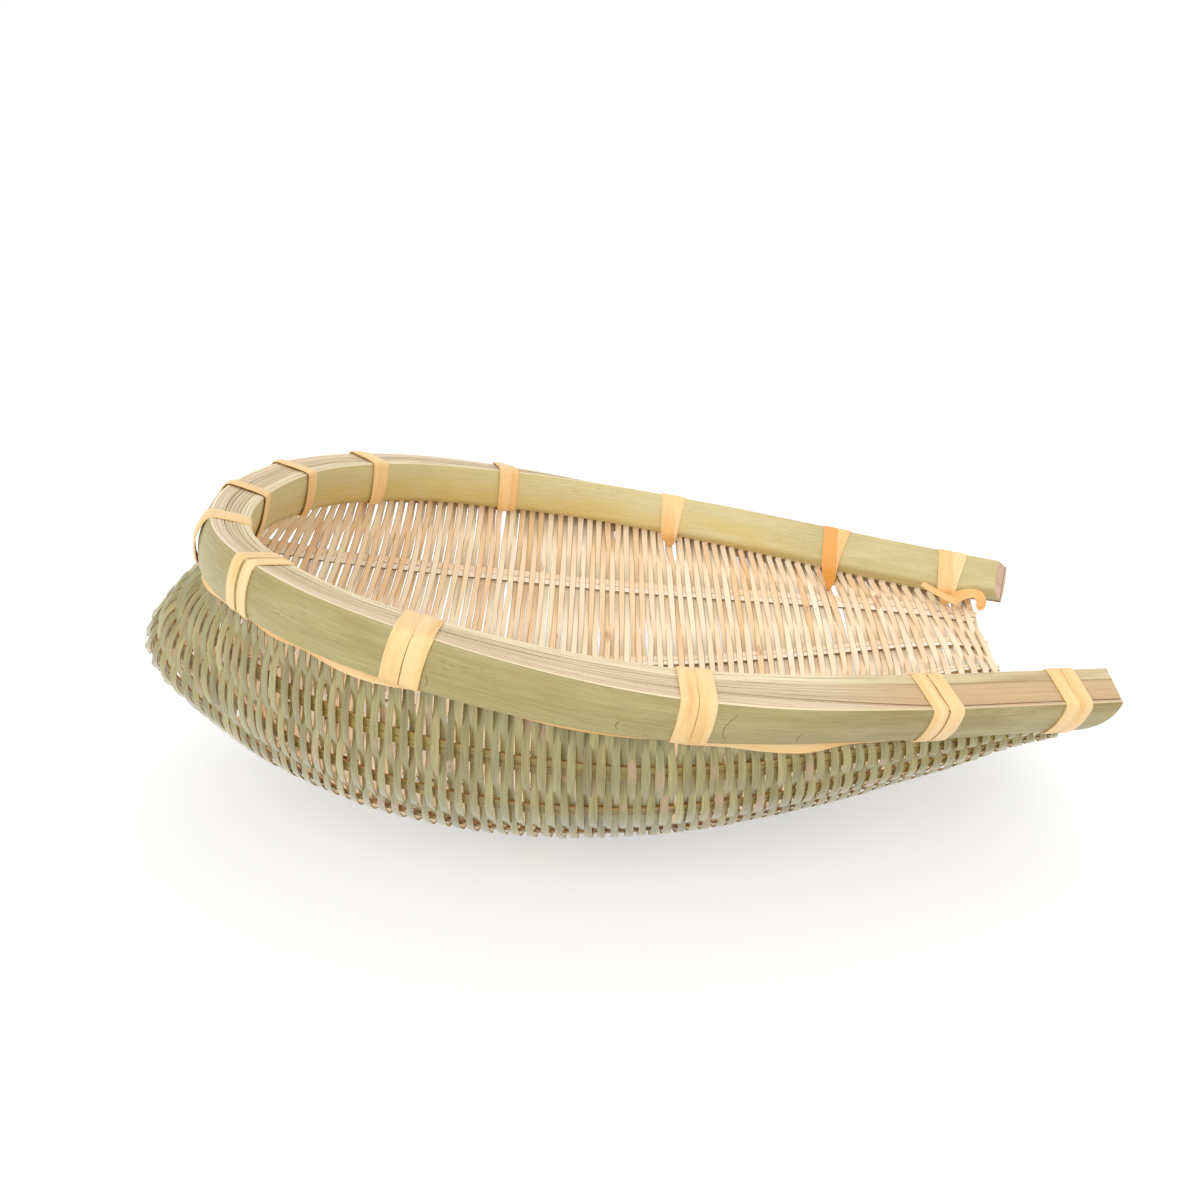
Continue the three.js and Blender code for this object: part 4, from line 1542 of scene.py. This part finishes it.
@dataclass
class Lashings:
    """The lashings round the rim, the runners between them and the knot.

    A runner's depths are millimetres below the outer hoop, evenly counted from lashing to lashing.
    Changes are pairs of values between which something sets in.
    """

    thickness: float = 0.42 * MM
    crown: float = 0.2
    steps_per_stop: int = 4
    clear: float = 0.06 * MM
    dip_change: tuple[float, float] = (1.2 * MM, 3.0 * MM)
    tip_width: float = 0.16
    rim_face_share: float = 0.4
    stops_below: int = 3
    fall_limit: float = 1.25
    closed_at: float = 1.1
    over_share: float = 1.1
    over_change: tuple[float, float] = (0.05, 0.4)
    deepening: float = 0.2
    deep_from: float = 0.3
    wraps: dict[int, Wrap] = field(default_factory=lambda: {
        0: Wrap(3.8 * MM, along=-1.9 * MM, lead_top=1.5 * MM, lead_out=-0.9 * MM),
        1: Wrap(3.8 * MM, 0.6 * MM, -0.9 * MM, lead_top=2.6 * MM, lead_out=-1.1 * MM),
        2: Wrap(4.0 * MM, along=-0.8 * MM, lead_out=-0.9 * MM),
        3: Wrap(4.5 * MM, lead_top=2.8 * MM, lead_out=1.9 * MM),
        4: Wrap(3.7 * MM, 1.2 * MM),
        5: Wrap(3.4 * MM, along=1.7 * MM, lead_top=0.3 * MM, stand_off=0.8 * MM),
        6: Wrap(3.4 * MM, -1.0 * MM, 0.3 * MM, 0.4 * MM, 0.8 * MM),
        7: Wrap(3.3 * MM, -1.4 * MM, -1.7 * MM, 2.0 * MM, 1.2 * MM, dip=1.0 * MM),
        8: Wrap(3.7 * MM, -1.3 * MM, -1.6 * MM, 1.8 * MM, 0.9 * MM, meet=0.45, dip=0.6 * MM),
        9: Wrap(4.0 * MM, -1.1 * MM, 0.2 * MM, lead_in=1.7 * MM, meet=0.7, dip=0.9 * MM, shades=(0.12, 0.2)),
        10: Wrap(4.2 * MM, 0.0, lead_in=3.6 * MM, meet=0.25, dip=3.2 * MM, shades=(0.22, 0.05)),
        11: Wrap(4.5 * MM, 0.0, -1.3 * MM, -1.2 * MM, 3.2 * MM, meet=0.05, dip=6.6 * MM, shades=(0.85, 0.2)),
        12: Wrap(4.4 * MM, 0.2 * MM, -0.6 * MM, lead_in=2.9 * MM, meet=0.2, dip=2.4 * MM,
                 shades=(0.1, 0.0))})
    runner: Slat = Slat(3.0 * MM, 0.4 * MM, 0.2)
    runner_steps: int = 36
    runner_inset: float = 1.0 * MM
    runner_out: float = 1.5 * MM
    runner_least: float = 0.2 * MM
    runner_turn: float = 0.35
    runner_unevenness: float = 0.15
    runner_limit: float = 0.985
    runner_depths: tuple[tuple[float, ...], ...] = (
        (0.3, 0.2, 0.5, 1.5), (2.4, 2.7, 3.0, 4.7, 4.0, 2.6, 2.2), (1.0, 1.3, 1.3, 1.1, 0.5, -0.3, 0.1),
        (0.4, 1.5, 1.6, 0.4, 1.0, 0.3), (0.8, 1.0, 1.6, 2.8, 3.0), (1.0, 1.8, 1.2), (1.0, 1.6, 1.1),
        (1.1, 1.7, 1.0), (0.8, 1.5, 1.1), (0.6, 1.6, 0.8), (0.5, 1.8, 1.9, 0.7), (0.4, 1.2, 0.4))
    knot_steps: int = 32
    knot_shade: float = 0.4
    materials: dict[str, bpy.types.Material] = field(default_factory=dict)

    def dress(self) -> None:
        """Makes the lashings' finish."""
        self.materials["strap"] = LashingFinish("lashing_strip").make()

    def stops(self, wrap: Wrap) -> list[tuple[float, float, float, float, float]]:
        """One turn round the rim, from where the strip comes in through the weave below.

        Args:
            wrap: how this lashing differs.

        Returns:
            Rows of across, down, the facing's two parts and the strip's width.
        """
        r, h, g = RIM.thickness, RIM.hoop_height, self.thickness / 2 + self.clear
        crown_in, crown_out = RIM.inner_crown, RIM.outer_crown
        sharp = smoothstep(*self.dip_change, wrap.dip)
        return [
            (5.3 * MM, h + 0.45 * MM + wrap.dip, 0.35, 0.95, lerp(0.95, self.tip_width, sharp)),
            (8.2 * MM, h + 0.45 * MM + wrap.dip * 0.5, 0.8, 0.5, lerp(1, 0.8, sharp)),
            (r + g * 0.6, h + 0.1 * MM + wrap.dip * 0.12, 0.95, 0.3, 1),
            (r + crown_in + g, h * 0.62, 1, 0, 1),
            (r + crown_in * 0.4 + g, h * 0.16, 1, 0, 1),
            (r + g - 0.05 * MM, 0.25 * MM, 0.86, -0.5, 1),
            (r - 0.35 * MM, -g + 0.05 * MM, 0.3, -0.95, 1),
            (r * 0.72, -g - 0.12 * MM, 0, -1, 1),
            (r * 0.3, -g - 0.12 * MM, 0, -1, 1),
            (0.45 * MM, -g + 0.02 * MM, -0.3, -0.95, 1),
            (-g - 0.02 * MM, 0.45 * MM, -0.86, -0.5, 1),
            (-crown_out * 0.55 - g, h * 0.16, -1, 0, 1),
            (-crown_out - g, h * 0.5, -1, 0, 1),
            (-crown_out * 0.5 - g, h * 0.86, -1, 0, 1),
            (-g + 0.12 * MM, h - 0.05 * MM, -0.85, 0.5, 1),
            (0.9 * MM, h + 0.28 * MM, -0.2, 0.97, 1),
            (3.6 * MM, h + 0.34 * MM, 0, 1, 0.9),
        ]

    def turn(self, place: float, wrap: Wrap, lane: int, closing: bool) -> list[Step]:
        """The route of one turn.

        Args:
            place: the lashing's place on the rim.
            wrap: how this lashing differs.
            lane: which side of the lashing the turn lies on, -1 or 1.
            closing: true for the turn that comes in to the other one below the inner face.

        Returns:
            The steps of its route.
        """
        stops = self.stops(wrap)
        rows = Line(tuple(Vector(row[:4]) for row in stops))
        widths = line_through([(row[4], 0, 0) for row in stops])
        apart = wrap.width + wrap.split
        count = (len(stops) - 1) * self.steps_per_stop
        shade = wrap.shades[0 if lane == (-1 if place > 0.5 else 1) else 1]
        shifts, lifts, shades = [], [], []
        for i in range(count + 1):
            across, down, _, _ = rows.at(i / count)
            outer = smoothstep(RIM.thickness * self.rim_face_share, 0.0, across)
            inner = smoothstep(RIM.thickness * (1 - self.rim_face_share), RIM.thickness, across)
            if i < self.stops_below * self.steps_per_stop:
                inner, outer = 1.0, 0.0
            fall = min(max(down / RIM.hoop_height, 0.0), self.fall_limit)
            close = (1 - wrap.meet) * inner * smoothstep(0.0, self.closed_at, fall)
            shift = wrap.along + wrap.lead_top * min(max(across / RIM.thickness, 0.0), 1.0)
            shift += (wrap.lead_in * inner + wrap.lead_out * outer) * fall
            shifts.append(shift + lane * apart * (0.5 - (close if closing else 0.0)))
            over = 0.0 if closing else self.thickness * self.over_share
            lift = over * (1.0 if wrap.split < 0 else smoothstep(*self.over_change, close))
            lifts.append(lift + wrap.stand_off * outer * math.sin(math.pi * min(fall, 1)))
            deeper = self.deepening * inner * smoothstep(self.deep_from, self.closed_at, fall)
            shades.append(min(shade + deeper, 1.0))
        steps = []
        for i in range(count + 1):
            across, down, face_across, face_down = rows.at(i / count)
            here = RIM.section(place)
            facing = (here.across * face_across + here.down * face_down).normalized()
            near = shifts[max(i - self.steps_per_stop, 0):i + self.steps_per_stop + 1]
            at = RIM.moved(place, sum(near) / len(near))
            steps.append(Step(RIM.point(at, across, down) + facing * lifts[i], facing,
                              widths.at(i / count).x, shade=shades[i]))
        return steps

    def lash(self) -> None:
        """Builds the thirteen lashings, the closing turn first and the other one over it."""
        count = 2 * ((len(self.stops(Wrap())) - 1) * self.steps_per_stop + 1)
        blank = Slat.blank(count)
        rng = random.Random(3)
        for index, place in enumerate(LASHING_PLACES):
            wrap = self.wraps.get(index, Wrap())
            outer_lane = 1 if index >= len(LASHING_SHARES) - 1 else -1
            steps = self.turn(place, wrap, outer_lane, True) + self.turn(place, wrap, -outer_lane, False)
            piece = Piece(f"lashing_turns_{index + 1:02d}")
            piece.bend(blank, Slat(wrap.width, self.thickness, self.crown), steps, rng.random())
            piece.object([self.materials["strap"]], "lashing", f"lashing_{index + 1:02d}")

    def run(self) -> None:
        """Builds the runners that lie on the weave under the outer hoop."""
        count = self.runner_steps
        blank = self.runner.blank(count + 1)
        rng = random.Random(13)
        for index, (start, end) in enumerate(zip(LASHING_PLACES, LASHING_PLACES[1:])):
            piece = Piece(f"runner_strip_{index + 1:02d}")
            depths = line_through([(depth * MM, 0, 0) for depth in self.runner_depths[index]])
            steps = []
            for i in range(count + 1):
                place = lerp(RIM.moved(start, self.runner_inset), RIM.moved(end, -self.runner_inset),
                             i / count)
                side = Side.NEAR if place < 0.5 else Side.FAR
                station = min(WEAVE.station_at(place), self.runner_limit)
                depth = depths.at(i / count).x
                across = WEAVE.across_at_depth(station, side, max(depth, self.runner_least))
                inside, _ = WEAVE.facing(station, across)
                middle = WEAVE.point(station, across) - inside * self.runner_out
                middle += RIM.section(place).down * min(depth - self.runner_least, 0.0)
                width = 1 + self.runner_unevenness * wander(index + 60.0, i / count * 4)
                turn = self.runner_turn * wander(index + 50.0, i / count * 3)
                steps.append(Step(middle, -inside, width, turn))
            piece.bend(blank, self.runner, steps, rng.random())
            piece.object([self.materials["strap"]], "lashing", f"runner_{index + 1:02d}")

    def knot(self) -> None:
        """Builds the loop and the tail that end the lashing strip on the far arm.

        Their rows are the distance along the rim, how far inside and below the inner hoop's lower edge,
        all in millimetres, and the tilt of the face.
        """
        place = LASHING_PLACES[-1]
        r, h = RIM.thickness, RIM.hoop_height
        loop = [(3.0, 0.6, 3.8, -0.2), (5.2, 1.6, 2.0, -0.3), (8.0, 2.2, 0.8, -0.4),
                (10.4, 1.9, 0.6, -0.3), (12.0, 1.2, 1.9, 0.2), (12.3, 0.4, 3.4, 0.6), (11.2, 0.0, 4.2, 0.8)]
        tail = [(5.2, 0.8, 4.3, 0.3), (1.8, 1.7, 3.6, 0.2), (-2.2, 2.2, 2.5, 0.0), (-6.6, 2.5, 0.8, 0.0)]
        for name, node, rows, width, taper in (
                ("knot_loop_strip", "knot_loop", loop, 4.3 * MM, 0.42),
                ("knot_tail_strip", "knot_tail", tail, 2.1 * MM, 0.2)):
            line = line_through([(a * MM, r + b * MM, h + c * MM, d) for a, b, c, d in rows])
            self.free_end(name, node, line, place, width, taper)

    def free_end(self, name: str, node: str, line: Line, place: float, width: float,
                 taper: float) -> None:
        """Builds one free stretch of the knot.

        Args:
            name: the piece's name.
            node: the node that it stands for.
            line: its route as rows of distance along the rim, across, down and tilt of its face.
            place: the knot's place on the rim.
            width: the strip's width.
            taper: the share of its width that it loses towards its end.
        """
        count = self.knot_steps
        steps = []
        for i in range(count + 1):
            along, across, down, lean = line.at(i / count)
            here = RIM.section(place)
            facing = here.across * math.cos(lean) + here.down * math.sin(lean)
            steps.append(Step(RIM.point(RIM.moved(place, along), across, down), facing,
                              1 - taper * i / count, shade=self.knot_shade))
        piece = Piece(name)
        slat = Slat(width, self.thickness, self.crown)
        piece.bend(slat.blank(count + 1), slat, steps)
        piece.object([self.materials["strap"]], "lashing", node)


@dataclass
class Studio:
    """The camera at the photograph's viewing angle, a pale floor and soft light."""

    frame_size: float = 1200.0
    centre: tuple[float, float] = (642.79, 632.52)
    focal: float = 1262.12
    sensor: float = 36.0
    position: tuple[float, float, float] = (10.142 * MM, -336.625 * MM, 158.387 * MM)
    azimuth: float = 0.1246
    elevation: float = 19.048
    roll: float = -0.275
    nearest: float = 0.01
    floor_half: float = 40.0
    floor_tone: float = 0.8
    seen_tone: float = 0.5
    seen_glow: float = 0.54
    mirrored_glow: float = 0.7
    sky: float = 0.88

    def camera(self) -> None:
        """Places the camera."""
        data = bpy.data.cameras.new("camera")
        data.sensor_width = self.sensor
        data.lens = self.focal / self.frame_size * self.sensor
        data.shift_x = (self.frame_size / 2 - self.centre[0]) / self.frame_size
        data.shift_y = (self.centre[1] - self.frame_size / 2) / self.frame_size
        data.clip_start = self.nearest
        a, e, r = (math.radians(v) for v in (self.azimuth, self.elevation, self.roll))
        back = Vector((math.sin(a) * math.cos(e), -math.cos(a) * math.cos(e), math.sin(e)))
        right = Vector((math.cos(a), math.sin(a), 0))
        up = back.cross(right)
        right, up = right * math.cos(r) + up * math.sin(r), up * math.cos(r) - right * math.sin(r)
        turn = Matrix((right, up, back)).transposed().to_4x4()
        camera = bpy.data.objects.new("camera", data)
        camera.matrix_world = Matrix.Translation(Vector(self.position)) @ turn
        bpy.context.scene.collection.objects.link(camera)
        bpy.context.scene.camera = camera

    def floor(self) -> None:
        """Lays the floor, which is plain white to the camera and keeps the basket's shadow."""
        bm = bmesh.new()
        bmesh.ops.create_grid(bm, x_segments=1, y_segments=1, size=self.floor_half)
        mesh = bpy.data.meshes.new("floor")
        bm.to_mesh(mesh)
        bm.free()
        floor = bpy.data.objects.new("floor", mesh)
        bpy.context.scene.collection.objects.link(floor)
        sheet = Sheet("floor_white")
        path = sheet.node("LightPath", {})
        seen = sheet.math("MAXIMUM", path.outputs["Is Camera Ray"], path.outputs["Is Transmission Ray"])
        bright = sheet.math("MULTIPLY", path.outputs["Is Glossy Ray"], self.mirrored_glow)
        bright = sheet.math("MULTIPLY_ADD", seen, self.seen_glow, bright)
        base = sheet.mix(seen, (*(self.floor_tone,) * 3, 1), (*(self.seen_tone,) * 3, 1))
        sheet.shader.inputs["Specular IOR Level"].default_value = 0.0
        sheet.shader.inputs["Emission Color"].default_value = (1, 1, 1, 1)
        sheet.links.new(bright, sheet.shader.inputs["Emission Strength"])
        sheet.paint(base, 1.0)
        mesh.materials.append(sheet.material)

    def world(self) -> None:
        """Lights the whole scene softly and shows white behind it."""
        world = bpy.data.worlds.new("studio")
        world.use_nodes = True
        nodes, links = world.node_tree.nodes, world.node_tree.links
        background = next(node for node in nodes if node.type == "BACKGROUND")
        path = nodes.new("ShaderNodeLightPath")
        peak = nodes.new("ShaderNodeMath")
        peak.operation = "MAXIMUM"
        links.new(path.outputs["Is Camera Ray"], peak.inputs[0])
        links.new(path.outputs["Is Glossy Ray"], peak.inputs[1])
        level = nodes.new("ShaderNodeMapRange")
        level.inputs["To Min"].default_value = self.sky
        level.inputs["To Max"].default_value = 1.0
        links.new(peak.outputs[0], level.inputs["Value"])
        background.inputs["Color"].default_value = (1, 1, 1, 1)
        links.new(level.outputs["Result"], background.inputs["Strength"])
        bpy.context.scene.world = world

    def lamp(self, name: str, direction: Vector, strength: float, spread: float) -> None:
        """Hangs one broad, far and soft lamp.

        Args:
            name: the lamp's name.
            direction: where it stands, seen from the basket.
            strength: its strength.
            spread: how wide it looks from the basket, in degrees.
        """
        data = bpy.data.lights.new(name, "SUN")
        data.energy = strength
        data.angle = math.radians(spread)
        lamp = bpy.data.objects.new(name, data)
        turn = (-direction).to_track_quat("-Z", "Y").to_matrix().to_4x4()
        lamp.matrix_world = Matrix.Translation(direction) @ turn
        bpy.context.scene.collection.objects.link(lamp)

    def light(self) -> None:
        """Hangs the lamps."""
        self.lamp("key", Vector((-0.2, -0.85, 0.55)), strength=1.15, spread=60.0)
        self.lamp("top", Vector((0.3, -0.2, 1.0)), strength=0.15, spread=90.0)


def main() -> None:
    """Builds the basket and its studio in order."""
    logging.basicConfig(level=logging.INFO, format="%(name)s: %(message)s")
    bpy.context.scene.view_settings.view_transform = "Standard"
    studio = Studio()
    studio.camera()
    studio.floor()
    studio.world()
    studio.light()
    hoops = Hoops()
    hoops.dress()
    hoops.outer()
    hoops.inner()
    body = Body()
    body.dress()
    body.weave()
    body.warps()
    body.lip()
    lashings = Lashings()
    lashings.dress()
    lashings.lash()
    lashings.run()
    lashings.knot()


if __name__ == "__main__":
    main()
